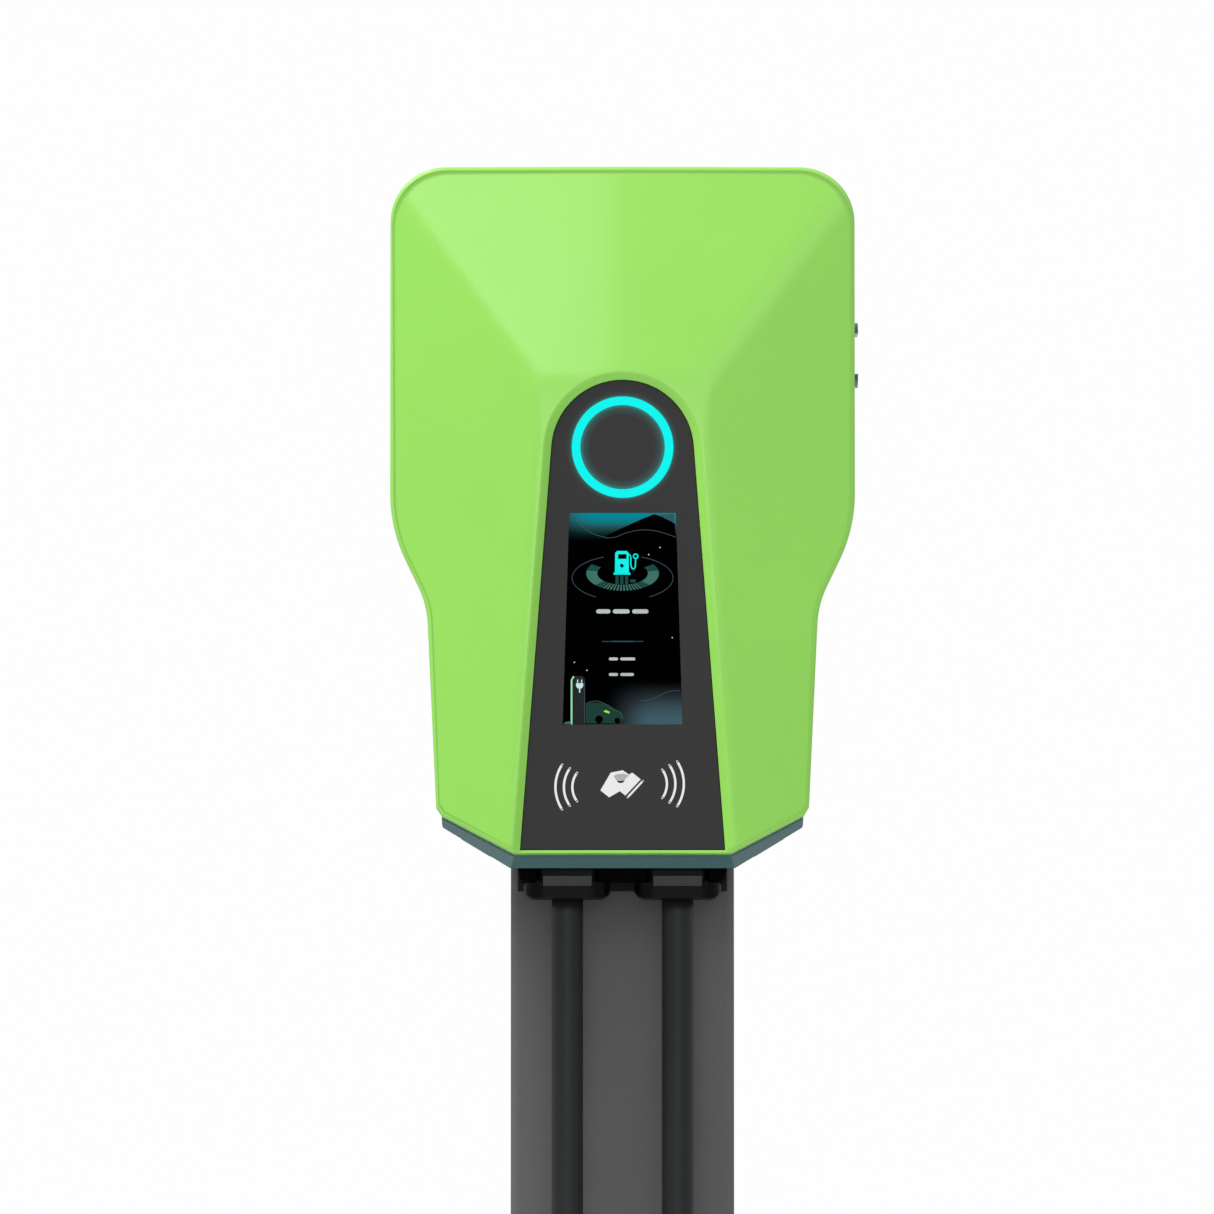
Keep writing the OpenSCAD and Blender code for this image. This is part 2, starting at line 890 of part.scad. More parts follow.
module antenna() {
    color("black")
        translate([0, -20, head_z + head_h - shell_step - wall]) {
            translate([0, 0, -9])
                cylinder(h = 9, d = 50);
            translate([0, 0, -24])
                cylinder(h = 16, d = 12);
        }
}

// ---------- holster ----------

bracket_t = 3;
bracket_w = column_w - 11;
bracket_screws = [-74.5, 0, 74.5];
bracket_heights = [head_z + 30];
bracket_drop = 25;                     // how far the bracket hangs below the head
housing_z = collar_top + 1.5;
housing_top = nose_top + 8;
housing_y1 = column_front - bracket_t - fit;
housing_y0 = connector_y - nose_d / 2 - socket_gap - 2.5;
housing_back = 6;
housing_taper = 3.5;
slot_w = body_w + 2 * socket_gap;
slot_h = body_top + socket_gap - housing_z + cut;
screw_head_d = 10;

module holster_bracket() {
    color([0.2, 0.2, 0.21])
        difference() {
            block(
                [bracket_w, bracket_t, column_top - head_z + bracket_drop],
                [0, column_front - bracket_t / 2, head_z - bracket_drop]
            );
            for (x = bracket_screws, z = bracket_heights)
                rod_y(m5 + fit, 3 * bracket_t, [x, column_front - 2 * bracket_t, z]);
        }
}

// The housing's front outline, narrower at its foot
housing_half = [
    [bracket_w / 2 + 1 - housing_taper, housing_z],
    [bracket_w / 2 + 1, head_z + 1],
    [bracket_w / 2 + 1, housing_top]
];

// The black holster: two sockets that take the noses, open in front for the connectors' bodies
module holster_housing() {
    color([0.03, 0.03, 0.03])
        difference() {
            upright(both_sides(housing_half), housing_y0, housing_y1, 0);
            for (side = [-1, 1]) {
                translate([side * connector_x, connector_y, housing_z - cut])
                    cylinder(h = housing_top - 4 - housing_z + cut, d = nose_d + 2 * socket_gap);
                block(
                    [slot_w, body_d + 2 * socket_gap, slot_h],
                    [side * connector_x, connector_y, housing_z - cut]
                );
                block(
                    [slot_w, body_d, slot_h],
                    [side * connector_x, connector_y - body_d / 2, housing_z - cut]
                );
            }
            for (x = bracket_screws, z = bracket_heights) {
                rod_y(m5 + fit, housing_y1 - housing_y0 + 2 * cut, [x, housing_y0 - cut, z]);
                rod_y(
                    screw_head_d, housing_y1 - housing_back - housing_y0 + cut,
                    [x, housing_y0 - cut, z]
                );
            }
        }
}

// Screws deep in the housing, through the bracket into the column
module holster_screws() {
    color("silver")
        for (x = bracket_screws, z = bracket_heights)
            screw_y(
                m5 - 0.2, housing_back + bracket_t + column_wall + 8,
                [x, housing_y1 - housing_back - 0.1, z]
            );
}

// A switch above each socket that tells when its connector is parked
module park_switches() {
    color("black")
        for (side = [-1, 1])
            translate([side * connector_x, connector_y, housing_top]) {
                block([28, 14, 16], [0, 0, 0]);
                block([4, 6, 3], [6, 0, 16]);
            }
}

// ---------- stop button ----------

shell_side = head_w / 2 - shell_step;
stop_y = seam_y + 78;
guard_lift = 8;
guard_slot = 31;
seat_t = 12;

// Two lobes, above and below the button, on a common ring
module stop_guard() {
    color("cadetblue")
        translate([shell_side, stop_y, stop_z])
            rotate([0, 90, 0])
                difference() {
                    cylinder(h = guard_lift, d = guard_d);
                    translate([0, 0, -cut])
                        cylinder(h = guard_lift + 2 * cut, d = stop_d + 1.6);
                    translate([0, 0, 2 + big / 2])
                        cube([guard_slot, big, big], center = true);
                }
}

block_size = 34;

module stop_contact_block() {
    x1 = shell_side - 22;
    x2 = shell_side - seat_t;
    color("black")
        difference() {
            union() {
                block([36, block_size, block_size], [x1 - 18, stop_y, stop_z - block_size / 2]);
                rod_x(24, x2 - x1, [x1, stop_y, stop_z]);
                rod_x(40, 3, [x2 - 3, stop_y, stop_z]);
            }
            rod_x(stem_d + 2 * fit, 40, [x1 - 16, stop_y, stop_z]);
        }
}

stem_d = 12;
stem_x = shell_side - 30;
cap_l = 9;
cap_x = shell_side - seat_t + stop_travel + 2.5;

// The plunger that the button pushes into the contact block
module stop_stem() {
    color("gray")
        difference() {
            rod_x(stem_d, cap_x - stem_x, [stem_x, stop_y, stop_z]);
            rod_x(6.1, 12, [cap_x - 6, stop_y, stop_z]);
        }
}

// The red button; it turns on the plunger to let it spring out again
module stop_button() {
    color("red") {
        rod_x(stop_d, cap_l - 3, [cap_x + 0.2, stop_y, stop_z]);
        translate([cap_x + cap_l - 2.8, stop_y, stop_z])
            rotate([0, 90, 0])
                cylinder(h = 2.4, d1 = stop_d, d2 = stop_d - 6);
        rod_x(6, 5.5, [cap_x - 5.3, stop_y, stop_z]);
    }
}

// ---------- connectors ----------

collar_r = 8;
grip_r = 16;
body_r = 5;
mouth_h = 40;
mouth_wall = 3;

// The front outline of a collar, with its lower corners rounded most
function collar_outline() = rounded(
    [[collar_w / 2, 0], [collar_w / 2, collar_h], [-collar_w / 2, collar_h], [-collar_w / 2, 0]],
    [collar_r, 3, 3, collar_r]
);

// The housing of a charging connector, parked nose up: a rounded collar, a square body with a
// window for the trigger, and a round nose with a hollow mouth
module connector_shell(side) {
    color([0.02, 0.02, 0.02])
        translate([side * connector_x, connector_y, 0])
            difference() {
                union() {
                    intersection() {
                        upright(collar_outline(), -collar_d / 2, collar_d / 2, collar_z);
                        soft_block([collar_w, collar_d, collar_h], [0, 0, collar_z], grip_r);
                    }
                    soft_block([body_w, body_d, body_h + cut], [0, 0, collar_top - cut], body_r);
                    translate([0, 0, body_top])
                        cylinder(h = nose_h, d = nose_d);
                }
                translate([0, 0, nose_top - mouth_h])
                    cylinder(h = mouth_h + cut, d = nose_d - 2 * mouth_wall);
                translate([0, 0, nose_top - mouth_h - 0.5])
                    cylinder(h = 1, d = nose_d - 2 * mouth_wall - 2);
                block([window_w, 2 * window_depth, window_h], [0, -collar_d / 2, window_z]);
                translate([0, 0, collar_z - cut])
                    cylinder(h = grommet_l + cut, d = grommet_d);
            }
}

pin_r = 12;

// The insulator in the nose with its sleeves
module connector_contacts(side) {
    color("dimgray")
        translate([side * connector_x, connector_y, nose_top - mouth_h])
            difference() {
                cylinder(h = mouth_h - 10, d = nose_d - 2 * mouth_wall - 0.4);
                for (i = [0 : 6])
                    rotate([0, 0, i * 60])
                        translate([i < 6 ? pin_r : 0, 0, 8])
                            cylinder(h = 40, d = i < 6 ? 7 : 9);
            }
}

trigger_gap = 0.5;
trigger_t = 5;

// The release trigger in the collar's window
module connector_trigger(side) {
    color("gray")
        translate([side * connector_x, connector_y - collar_d / 2, window_z + trigger_gap]) {
            block(
                [window_w - 2 * trigger_gap, trigger_t, window_h - 2 * trigger_gap],
                [0, 1.2 + trigger_t / 2, 0]
            );
            block(
                [12, window_depth - trigger_travel - trigger_gap - 3, window_h - 4],
                [0, 3 + (window_depth - trigger_travel - trigger_gap - 3) / 2, 1.5]
            );
        }
}

// The rubber grommet in the foot of a collar, which the cable meets
module cable_grommet(side) {
    color("black")
        translate([side * connector_x, connector_y, collar_z])
            cylinder(h = grommet_l - 0.2, d = grommet_d - 0.4);
}

module left_connector_shell() {
    connector_shell(-1);
}

module right_connector_shell() {
    connector_shell(1);
}

module left_connector_contacts() {
    connector_contacts(-1);
}

module right_connector_contacts() {
    connector_contacts(1);
}

module left_connector_trigger() {
    connector_trigger(-1);
}

module right_connector_trigger() {
    connector_trigger(1);
}

module left_cable_grommet() {
    cable_grommet(-1);
}

module right_cable_grommet() {
    cable_grommet(1);
}

// ---------- cables ----------

// A tube of the cable's diameter through a list of points; ref is never along the cable
module tube(points, ref) {
    sides = 12;
    last = len(points) - 1;
    rings = [
        for (i = [0 : last])
            let (
                along = unit(points[min(i + 1, last)] - points[max(i - 1, 0)]),
                across = unit(cross(along, ref)),
                up = cross(across, along)
            )
            for (k = [0 : sides - 1])
                points[i] + cable_d / 2 * (cos(k * 360 / sides) * across + sin(k * 360 / sides) * up)
    ];
    walls = [
        for (i = [0 : last - 1], k = [0 : sides - 1])
            let (
                a = i * sides + k,
                b = i * sides + (k + 1) % sides
            )
            each [[a, a + sides, b], [b, a + sides, b + sides]]
    ];
    ends = [
        [for (k = [0 : sides - 1]) k],
        [for (k = [sides - 1 : -1 : 0]) last * sides + k]
    ];
    polyhedron(rings, concat(walls, ends));
}

module on_side(side) {
    mirror([side < 0 ? 1 : 0, 0, 0])
        children();
}

module cable_run(side) {
    color([0.15, 0.15, 0.15])
        on_side(side)
            tube(run_points, [0, 1, 0]);
}

module cable_tail(side) {
    color([0.15, 0.15, 0.15])
        on_side(side)
            tube(tail_points, [0, 0, 1]);
}

// The outer shape of a coil two turns wide and two high
module cable_coil(side) {
    color([0.15, 0.15, 0.15])
        translate([side * coil_x, coil_y, coil_lift])
            rotate_extrude()
                translate([coil_r - cable_d, 0])
                    polygon(rounded(
                        [[0, 0], [2 * cable_d, 0], [2 * cable_d, 2 * cable_d], [0, 2 * cable_d]],
                        [for (i = [0 : 3]) cable_d / 2 - 1]
                    ));
}

tie_gap = 0.5;
tie_angles = [20, 160, 225];

module cable_ties(side) {
    inside = 2 * cable_d + 2 * tie_gap;
    color("black")
        on_side(side)
            for (angle = tie_angles)
                translate([coil_x, coil_y, 0])
                    rotate([0, 0, angle])
                        difference() {
                            block([inside + 2 * tie_t, tie_w, inside + 2 * tie_t], [coil_r, 0, 0]);
                            block([inside, tie_w + 2 * cut, inside], [coil_r, 0, tie_t]);
                        }
}

module left_cable_run() {
    cable_run(-1);
}

module right_cable_run() {
    cable_run(1);
}

module left_cable_coil() {
    cable_coil(-1);
}

module right_cable_coil() {
    cable_coil(1);
}

module left_cable_tail() {
    cable_tail(-1);
}

module right_cable_tail() {
    cable_tail(1);
}

module left_cable_ties() {
    cable_ties(-1);
}

module right_cable_ties() {
    cable_ties(1);
}

base_plate();
base_gussets();
column();
column_cap();
service_cover();
service_screws();
supply_terminals();
earth_stud();
left_cable_gland();
right_cable_gland();
rear_shell();
shell_gasket();
front_cover();
cover_screws();
front_panel();
display_window();
display_module();
light_ring();
light_board();
card_reader();
speaker();
chassis_plate();
chassis_bolts();
main_board();
board_spacers();
din_rail();
power_supply();
energy_meters();
contactors();
breaker();
antenna();
holster_bracket();
holster_housing();
holster_screws();
park_switches();
stop_guard();
stop_contact_block();
stop_stem();
stop_button();
left_connector_shell();
left_connector_contacts();
left_connector_trigger();
left_cable_grommet();
right_connector_shell();
right_connector_contacts();
right_connector_trigger();
right_cable_grommet();
left_cable_run();
left_cable_coil();
left_cable_tail();
left_cable_ties();
right_cable_run();
right_cable_coil();
right_cable_tail();
right_cable_ties();
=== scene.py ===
# Looks of the charging post: materials, soft shapes and fine pieces around the fixed CAD frame.
import math

import bpy
import numpy as np
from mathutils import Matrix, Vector


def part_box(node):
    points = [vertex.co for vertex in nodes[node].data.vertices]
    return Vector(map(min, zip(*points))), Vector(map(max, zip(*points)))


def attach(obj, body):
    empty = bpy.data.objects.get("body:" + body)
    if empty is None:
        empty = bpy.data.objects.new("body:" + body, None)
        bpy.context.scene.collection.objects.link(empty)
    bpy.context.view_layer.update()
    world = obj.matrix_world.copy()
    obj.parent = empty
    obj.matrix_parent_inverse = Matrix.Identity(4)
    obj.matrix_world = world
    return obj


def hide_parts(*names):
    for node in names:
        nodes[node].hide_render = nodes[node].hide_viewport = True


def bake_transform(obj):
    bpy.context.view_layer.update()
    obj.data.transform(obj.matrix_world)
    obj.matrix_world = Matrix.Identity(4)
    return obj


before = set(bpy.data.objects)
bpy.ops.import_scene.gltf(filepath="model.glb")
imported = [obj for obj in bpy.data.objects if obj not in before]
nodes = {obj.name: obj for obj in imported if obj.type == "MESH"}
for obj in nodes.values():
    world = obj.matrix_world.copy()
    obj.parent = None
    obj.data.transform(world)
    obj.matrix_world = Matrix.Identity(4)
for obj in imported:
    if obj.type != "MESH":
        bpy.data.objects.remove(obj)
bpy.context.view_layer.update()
MM = 0.001

# ---------- measures taken from the frame ----------

cover_low, cover_high = (np.array(c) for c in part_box("front_cover"))
screen_low, screen_high = (np.array(c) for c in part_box("display_window"))
ring_low, ring_high = (np.array(c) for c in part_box("light_ring"))
HEAD_Z = float(cover_low[2])
FRONT_Y = float(cover_low[1])
SEAM_Y = float(cover_high[1])
PANEL_Y = float(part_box("front_panel")[0][1])
RING_CENTRE = (ring_low + ring_high) / 2


# ---------- camera ----------

def make_camera():
    """Straight on, from slightly below, through a long lens."""
    distance = 9.0
    tilt = math.radians(3.0)
    view_width = 0.9226
    middle = Vector((-0.0118, SEAM_Y, 1.2897))
    data = bpy.data.cameras.new("camera")
    data.sensor_width = 36.0
    data.lens = data.sensor_width * distance / view_width
    data.clip_end = 100.0
    camera = bpy.data.objects.new("camera", data)
    bpy.context.scene.collection.objects.link(camera)
    camera.location = middle + distance * Vector((0, -math.cos(tilt), -math.sin(tilt)))
    camera.rotation_euler = (math.radians(90) + tilt, 0, 0)
    bpy.context.scene.camera = camera


make_camera()


# ---------- material helpers ----------

# Where the noise's low and high ends fall on a ramp, so that its whole spread is used
NOISE_LOW = 0.3
NOISE_HIGH = 0.7
CLOUD_SCALE = 9.0
GLOSS_SPREAD = 0.06
GRAIN_DEPTH = 0.2 * MM
COAT_ROUGHNESS = 0.16
BLACK = (0.0, 0.0, 0.0)


def new_material(name):
    """A node material with its plain shader, ready to be wired."""
    material = bpy.data.materials.new(name)
    material.use_nodes = True
    return material


def shader_of(material):
    return material.node_tree.nodes["Principled BSDF"]


def place_coordinates(tree_nodes):
    """Object coordinates: every CAD node sits at the origin, so these are metres in the frame."""
    return tree_nodes.new("ShaderNodeTexCoord").outputs["Object"]


def noise(material, scale, detail=3.0, roughness=0.5, stretch=(1, 1, 1)):
    """Noise in object space, scale in features per metre."""
    tree = material.node_tree
    mapping = tree.nodes.new("ShaderNodeMapping")
    mapping.inputs["Scale"].default_value = stretch
    tree.links.new(place_coordinates(tree.nodes), mapping.inputs["Vector"])
    texture = tree.nodes.new("ShaderNodeTexNoise")
    texture.inputs["Scale"].default_value = scale
    texture.inputs["Detail"].default_value = detail
    texture.inputs["Roughness"].default_value = roughness
    tree.links.new(mapping.outputs["Vector"], texture.inputs["Vector"])
    return texture.outputs["Fac"]


def ramp(material, source, stops):
    """A colour ramp over source; stops are (place, colour)."""
    tree = material.node_tree
    node = tree.nodes.new("ShaderNodeValToRGB")
    elements = node.color_ramp.elements
    while len(elements) < len(stops):
        elements.new(0.5)
    for element, (place, colour) in zip(elements, stops):
        element.position = place
        element.color = (*colour, 1.0)
    tree.links.new(source, node.inputs["Fac"])
    return node.outputs["Color"]


def scaled(colour, factor):
    return tuple(min(1.0, c * factor) for c in colour)


def add_bump(material, source, strength):
    tree = material.node_tree
    bump = tree.nodes.new("ShaderNodeBump")
    bump.inputs["Strength"].default_value = strength
    bump.inputs["Distance"].default_value = GRAIN_DEPTH
    tree.links.new(source, bump.inputs["Height"])
    tree.links.new(bump.outputs["Normal"], shader_of(material).inputs["Normal"])


def surface(name, colour, roughness, metallic=0.0, grain=900.0, bump=0.15, vary=0.05,
            coat=0.0, stretch=(1, 1, 1), shine=0.5):
    """A surface with slight clouding of its colour and gloss and a fine grain."""
    material = new_material(name)
    links = material.node_tree.links
    shader = shader_of(material)
    cloud = noise(material, CLOUD_SCALE, 4.0, 0.6)
    tint = ramp(material, cloud, [
        (NOISE_LOW, scaled(colour, 1 - vary)), (NOISE_HIGH, scaled(colour, 1 + vary))])
    links.new(tint, shader.inputs["Base Color"])
    fine = noise(material, grain, 2.0, 0.5, stretch)
    low = max(0.02, roughness - GLOSS_SPREAD)
    high = min(1.0, roughness + GLOSS_SPREAD)
    gloss = ramp(material, fine, [(NOISE_LOW, (low,) * 3), (NOISE_HIGH, (high,) * 3)])
    links.new(gloss, shader.inputs["Roughness"])
    shader.inputs["Metallic"].default_value = metallic
    shader.inputs["Specular IOR Level"].default_value = shine
    shader.inputs["Coat Weight"].default_value = coat
    shader.inputs["Coat Roughness"].default_value = COAT_ROUGHNESS
    add_bump(material, fine, bump)
    return material


def glow(name, colour, strength, edge=0.85):
    """A lit surface, slightly uneven as a diffuser is; edge is its dimmest share."""
    material = new_material(name)
    shader = shader_of(material)
    cloud = noise(material, 60.0, 2.0)
    tint = ramp(material, cloud, [(NOISE_LOW, scaled(colour, edge)), (NOISE_HIGH, colour)])
    shader.inputs["Base Color"].default_value = (*scaled(colour, 0.03), 1)
    shader.inputs["Specular IOR Level"].default_value = 0.1
    material.node_tree.links.new(tint, shader.inputs["Emission Color"])
    shader.inputs["Emission Strength"].default_value = strength
    shader.inputs["Roughness"].default_value = 0.5
    return material


def linear(r, g, b):
    """A linear colour from one given as it shows on a screen, each from 0 to 255."""
    return tuple(((c / 255 + 0.055) / 1.055) ** 2.4 if c > 10 else c / 255 / 12.92 for c in (r, g, b))


# ---------- materials ----------

cover_green = surface("cover_green", (0.33, 0.79, 0.112), 0.36, grain=1400, bump=0.06, vary=0.015,
                      coat=0.5, shine=0.3)
column_grey = surface("column_grey", linear(105, 105, 105), 0.55, grain=1800, bump=0.25, vary=0.03,
                      shine=0.2)
holster_black = surface("holster_black", (0.0015, 0.0015, 0.0015), 0.7, grain=1500, bump=0.2, vary=0.1,
                        shine=0.02)
bracket_grey = surface("bracket_grey", linear(34, 36, 38), 0.6, grain=1600, bump=0.2, shine=0.2)
connector_black = surface("connector_black", (0.002, 0.002, 0.0022), 0.35, grain=900, bump=0.05, shine=0.1)
insulator_grey = surface("insulator_grey", (0.1, 0.1, 0.105), 0.5)
trigger_grey = surface("trigger_grey", linear(69, 71, 71), 0.45, shine=0.2)
rubber_black = surface("rubber_black", (0.012, 0.012, 0.012), 0.75, grain=1200, bump=0.3)
cable_jacket = surface("cable_jacket", linear(36, 38, 39), 0.42, grain=700, bump=0.12, shine=0.28)
tie_black = surface("tie_black", (0.015, 0.015, 0.016), 0.9, grain=2500, bump=0.6)
zinc = surface("zinc", (0.62, 0.62, 0.64), 0.35, 1.0, grain=300, stretch=(1, 1, 8), bump=0.1)
steel = surface("steel", (0.55, 0.55, 0.57), 0.3, 1.0, grain=800)
brass = surface("brass", (0.75, 0.55, 0.25), 0.3, 1.0, grain=800)
solder_mask = surface("solder_mask", (0.015, 0.16, 0.05), 0.35, grain=1500, vary=0.15)
device_white = surface("device_white", (0.7, 0.7, 0.69), 0.5)
terminal_orange = surface("terminal_orange", (0.75, 0.22, 0.03), 0.5)
inner_black = surface("inner_black", (0.02, 0.02, 0.02), 0.6)
stop_red = surface("stop_red", (0.6, 0.008, 0.008), 0.3, coat=0.4)
print_white = surface("print_white", (0.95, 0.95, 0.95), 0.6, grain=1500, bump=0.05, vary=0.01, shine=0.3)
print_grey = surface("print_grey", linear(186, 186, 186), 0.6, grain=1500, bump=0.05, vary=0.02)
ring_cyan = glow("ring_cyan", linear(0, 246, 240), 0.97, edge=0.98)


def smoky_teal():
    """The rear shell: tinted plastic that lets a little light through."""
    material = surface("smoky_teal", (0.078, 0.20, 0.22), 0.2, grain=1100, bump=0.01, vary=0.03, coat=1.0)
    shader = shader_of(material)
    shader.inputs["Transmission Weight"].default_value = 0.25
    shader.inputs["IOR"].default_value = 1.45
    return material


shell_teal = smoky_teal()


def panel_dark():
    """Satin dark panel, with a faint painted cyan glow round the light ring: emission that stands in for the
    ring's light falling on the panel.
    """
    material = surface("panel_dark", linear(54, 54, 54), 0.5, grain=2200, bump=0.1, vary=0.02, shine=0.15)
    tree = material.node_tree
    shader = shader_of(material)
    offset = tree.nodes.new("ShaderNodeVectorMath")
    offset.operation = "DISTANCE"
    offset.inputs[1].default_value = (RING_CENTRE[0], PANEL_Y, RING_CENTRE[2])
    tree.links.new(place_coordinates(tree.nodes), offset.inputs[0])
    outer = float(ring_high[0] - ring_low[0]) / 2
    share = tree.nodes.new("ShaderNodeMapRange")
    share.inputs["From Min"].default_value = outer - 14 * MM
    share.inputs["From Max"].default_value = outer + 8 * MM
    tree.links.new(offset.outputs["Value"], share.inputs["Value"])
    # painted light: the panel itself emits a cyan band round the ring, as if lit by it
    painted_ring_glow = ramp(material, share.outputs["Result"], [
        (0.0, BLACK), (0.22, (0.0, 0.04, 0.038)), (0.32, (0.0, 0.15, 0.14)),
        (0.64, (0.0, 0.15, 0.14)), (0.70, (0.0, 0.03, 0.028)), (0.84, BLACK)])
    tree.links.new(painted_ring_glow, shader.inputs["Emission Color"])
    shader.inputs["Emission Strength"].default_value = 1.0
    return material


# ---------- mesh helpers ----------

def mesh_object(name, vertices, faces, materials, looks=None, smooth=True):
    """A piece from its points and faces; looks gives each face's place in materials."""
    mesh = bpy.data.meshes.new(name)
    mesh.from_pydata([tuple(map(float, v)) for v in vertices], [], faces)
    mesh.validate()
    for material in materials:
        mesh.materials.append(material)
    if looks:
        mesh.polygons.foreach_set("material_index", looks)
    mesh.polygons.foreach_set("use_smooth", [smooth] * len(mesh.polygons))
    mesh.update()
    obj = bpy.data.objects.new(name, mesh)
    bpy.context.scene.collection.objects.link(obj)
    return obj


def ring_faces(rings, sides):
    """The faces that join each ring of points to the next one."""
    faces = []
    for i in range(rings - 1):
        for k in range(sides):
            n = (k + 1) % sides
            faces.append((i * sides + k, i * sides + n, (i + 1) * sides + n, (i + 1) * sides + k))
    return faces


def paint(node, material, bevel=0.0, segments=2):
    """A CAD node's material, and a bevel on its sharp edges."""
    obj = nodes[node]
    obj.data.materials.clear()
    obj.data.materials.append(material)
    if bevel:
        modifier = obj.modifiers.new("bevel", "BEVEL")
        modifier.width = bevel
        modifier.segments = segments
        modifier.limit_method = "ANGLE"
        modifier.angle_limit = math.radians(32)
        modifier.harden_normals = True


# ---------- cables ----------

CABLE_D = 24 * MM
COIL_TURNS = 3.5
TURN_STEP = 12
TURNS_TO_CROSS = 0.17


def smooth_line(points, spacing):
    """A smooth line through the points, cut into equal steps."""
    points = np.array(points, float)
    ends = np.vstack([2 * points[0] - points[1], points, 2 * points[-1] - points[-2]])
    fine = []
    for a, b, c, d in zip(ends, ends[1:], ends[2:], ends[3:]):
        for t in np.linspace(0, 1, 24, endpoint=False):
            fine.append(0.5 * (
                2 * b + (c - a) * t + (2 * a - 5 * b + 4 * c - d) * t ** 2
                + (3 * b - a - 3 * c + d) * t ** 3))
    fine = np.array([*fine, points[-1]])
    travelled = np.concatenate([[0], np.cumsum(np.linalg.norm(np.diff(fine, axis=0), axis=1))])
    steps = np.linspace(0, travelled[-1], int(travelled[-1] / spacing) + 1)
    return np.stack([np.interp(steps, travelled, fine[:, k]) for k in range(3)], axis=1)


def tube_mesh(name, line, radius, material, sides=20):
    """A round tube round a line, closed at both ends."""
    along = np.gradient(line, axis=0)
    along /= np.linalg.norm(along, axis=1)[:, None]
    across = np.zeros_like(along)
    guide = np.array([0.0, 1.0, 0.0]) if abs(along[0][1]) < 0.9 else np.array([0.0, 0.0, 1.0])
    for i, direction in enumerate(along):
        guide = guide - direction * float(guide @ direction)
        guide /= np.linalg.norm(guide)
        across[i] = guide
    up = np.cross(along, across)
    turns = np.arange(sides) * 2 * math.pi / sides
    rings = line[:, None] + radius * (
        np.cos(turns)[None, :, None] * across[:, None] + np.sin(turns)[None, :, None] * up[:, None])
    faces = ring_faces(len(line), sides)
    faces.append(tuple(range(sides - 1, -1, -1)))
    faces.append(tuple((len(line) - 1) * sides + k for k in range(sides)))
    return mesh_object(name, rings.reshape(-1, 3), faces, [material])


def crossing(turn, start):
    """How far the cable has crossed to its next place in the coil, from 0 to 1."""
    return np.clip((turn - start) / TURNS_TO_CROSS, 0, 1)


def cable_line(side):
    """From the gland to the coil's back, round it and out at its front, then up to the connector.

    In the coil it goes once round the outside, once round inside that, and then on top of
    both, first inside and last outside.
    """
    name = "left" if side < 0 else "right"
    tail_low, tail_high = (np.array(c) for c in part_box(f"{name}_cable_tail"))
    coil_low, coil_high = (np.array(c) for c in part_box(f"{name}_cable_coil"))
    run_low, run_high = (np.array(c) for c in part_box(f"{name}_cable_run"))
    centre = (coil_low + coil_high) / 2
    outer = (coil_high[0] - coil_low[0]) / 2 - CABLE_D / 2
    inner = outer - CABLE_D
    low = coil_low[2] + CABLE_D / 2
    high = low + CABLE_D
    exit_x = min(abs(tail_low[0]), abs(tail_high[0]))
    exit_y = tail_low[1] + CABLE_D / 2
    exit_z = tail_high[2] - CABLE_D / 2
    mid_x = abs(centre[0])
    back_y = centre[1] + outer
    front_y = centre[1] - outer
    tail = [
        (exit_x, exit_y, exit_z),
        (exit_x + 18 * MM, exit_y, exit_z),
        (exit_x + 36 * MM, exit_y + 10 * MM, exit_z - 3 * MM),
        (exit_x + 52 * MM, exit_y + 34 * MM, exit_z - 13 * MM),
        (exit_x + 68 * MM, exit_y + 64 * MM, exit_z - 30 * MM),
        (exit_x + 88 * MM, back_y - 26 * MM, low + 38 * MM),
        (exit_x + 112 * MM, back_y - 8 * MM, low + 18 * MM),
        (exit_x + 140 * MM, back_y - 1 * MM, low + 6 * MM),
        (exit_x + 172 * MM, back_y, low + 1 * MM),
    ]
    turns = []
    for angle in range(0, int(360 * COIL_TURNS) + TURN_STEP, TURN_STEP):
        whole = angle / 360
        inward = crossing(whole, 0.8) - crossing(whole, 2.8)
        radius = outer - (outer - inner) * inward * inward * (3 - 2 * inward)
        lift = crossing(whole, 1.83)
        height = low + (high - low) * lift * lift * (3 - 2 * lift)
        turn = math.radians(90 - angle)
        turns.append((mid_x + radius * math.cos(turn), centre[1] + radius * math.sin(turn), height))
    connector_x = min(abs(run_low[0]), abs(run_high[0])) + CABLE_D / 2
    connector_y = run_high[1] - CABLE_D / 2
    top = run_high[2]
    run = [
        (mid_x - 48 * MM, front_y, high - 4 * MM),
        (mid_x - 88 * MM, front_y, low + 11 * MM),
        (mid_x - 130 * MM, front_y, low + 2 * MM),
        (mid_x - 168 * MM, front_y + 1 * MM, low + 1 * MM),
        (mid_x - 206 * MM, front_y + 4 * MM, low + 12 * MM),
        (mid_x - 242 * MM, front_y + 11 * MM, low + 40 * MM),
        (mid_x - 268 * MM, front_y + 28 * MM, low + 81 * MM),
        (mid_x - 284 * MM, front_y + 50 * MM, low + 136 * MM),
        (connector_x + 4 * MM, connector_y - 29 * MM, low + 201 * MM),
        (connector_x + 1 * MM, connector_y - 14 * MM, low + 276 * MM),
        (connector_x, connector_y - 5 * MM, low + 366 * MM),
        (connector_x, connector_y - 1 * MM, low + 486 * MM),
        (connector_x, connector_y, top - 430 * MM),
        (connector_x, connector_y, top - 270 * MM),
        (connector_x, connector_y, top - 110 * MM),
        (connector_x, connector_y, top),
    ]
    line = np.array([*tail, *turns, *run])
    line[:, 0] *= side
    return smooth_line(line, 11 * MM)


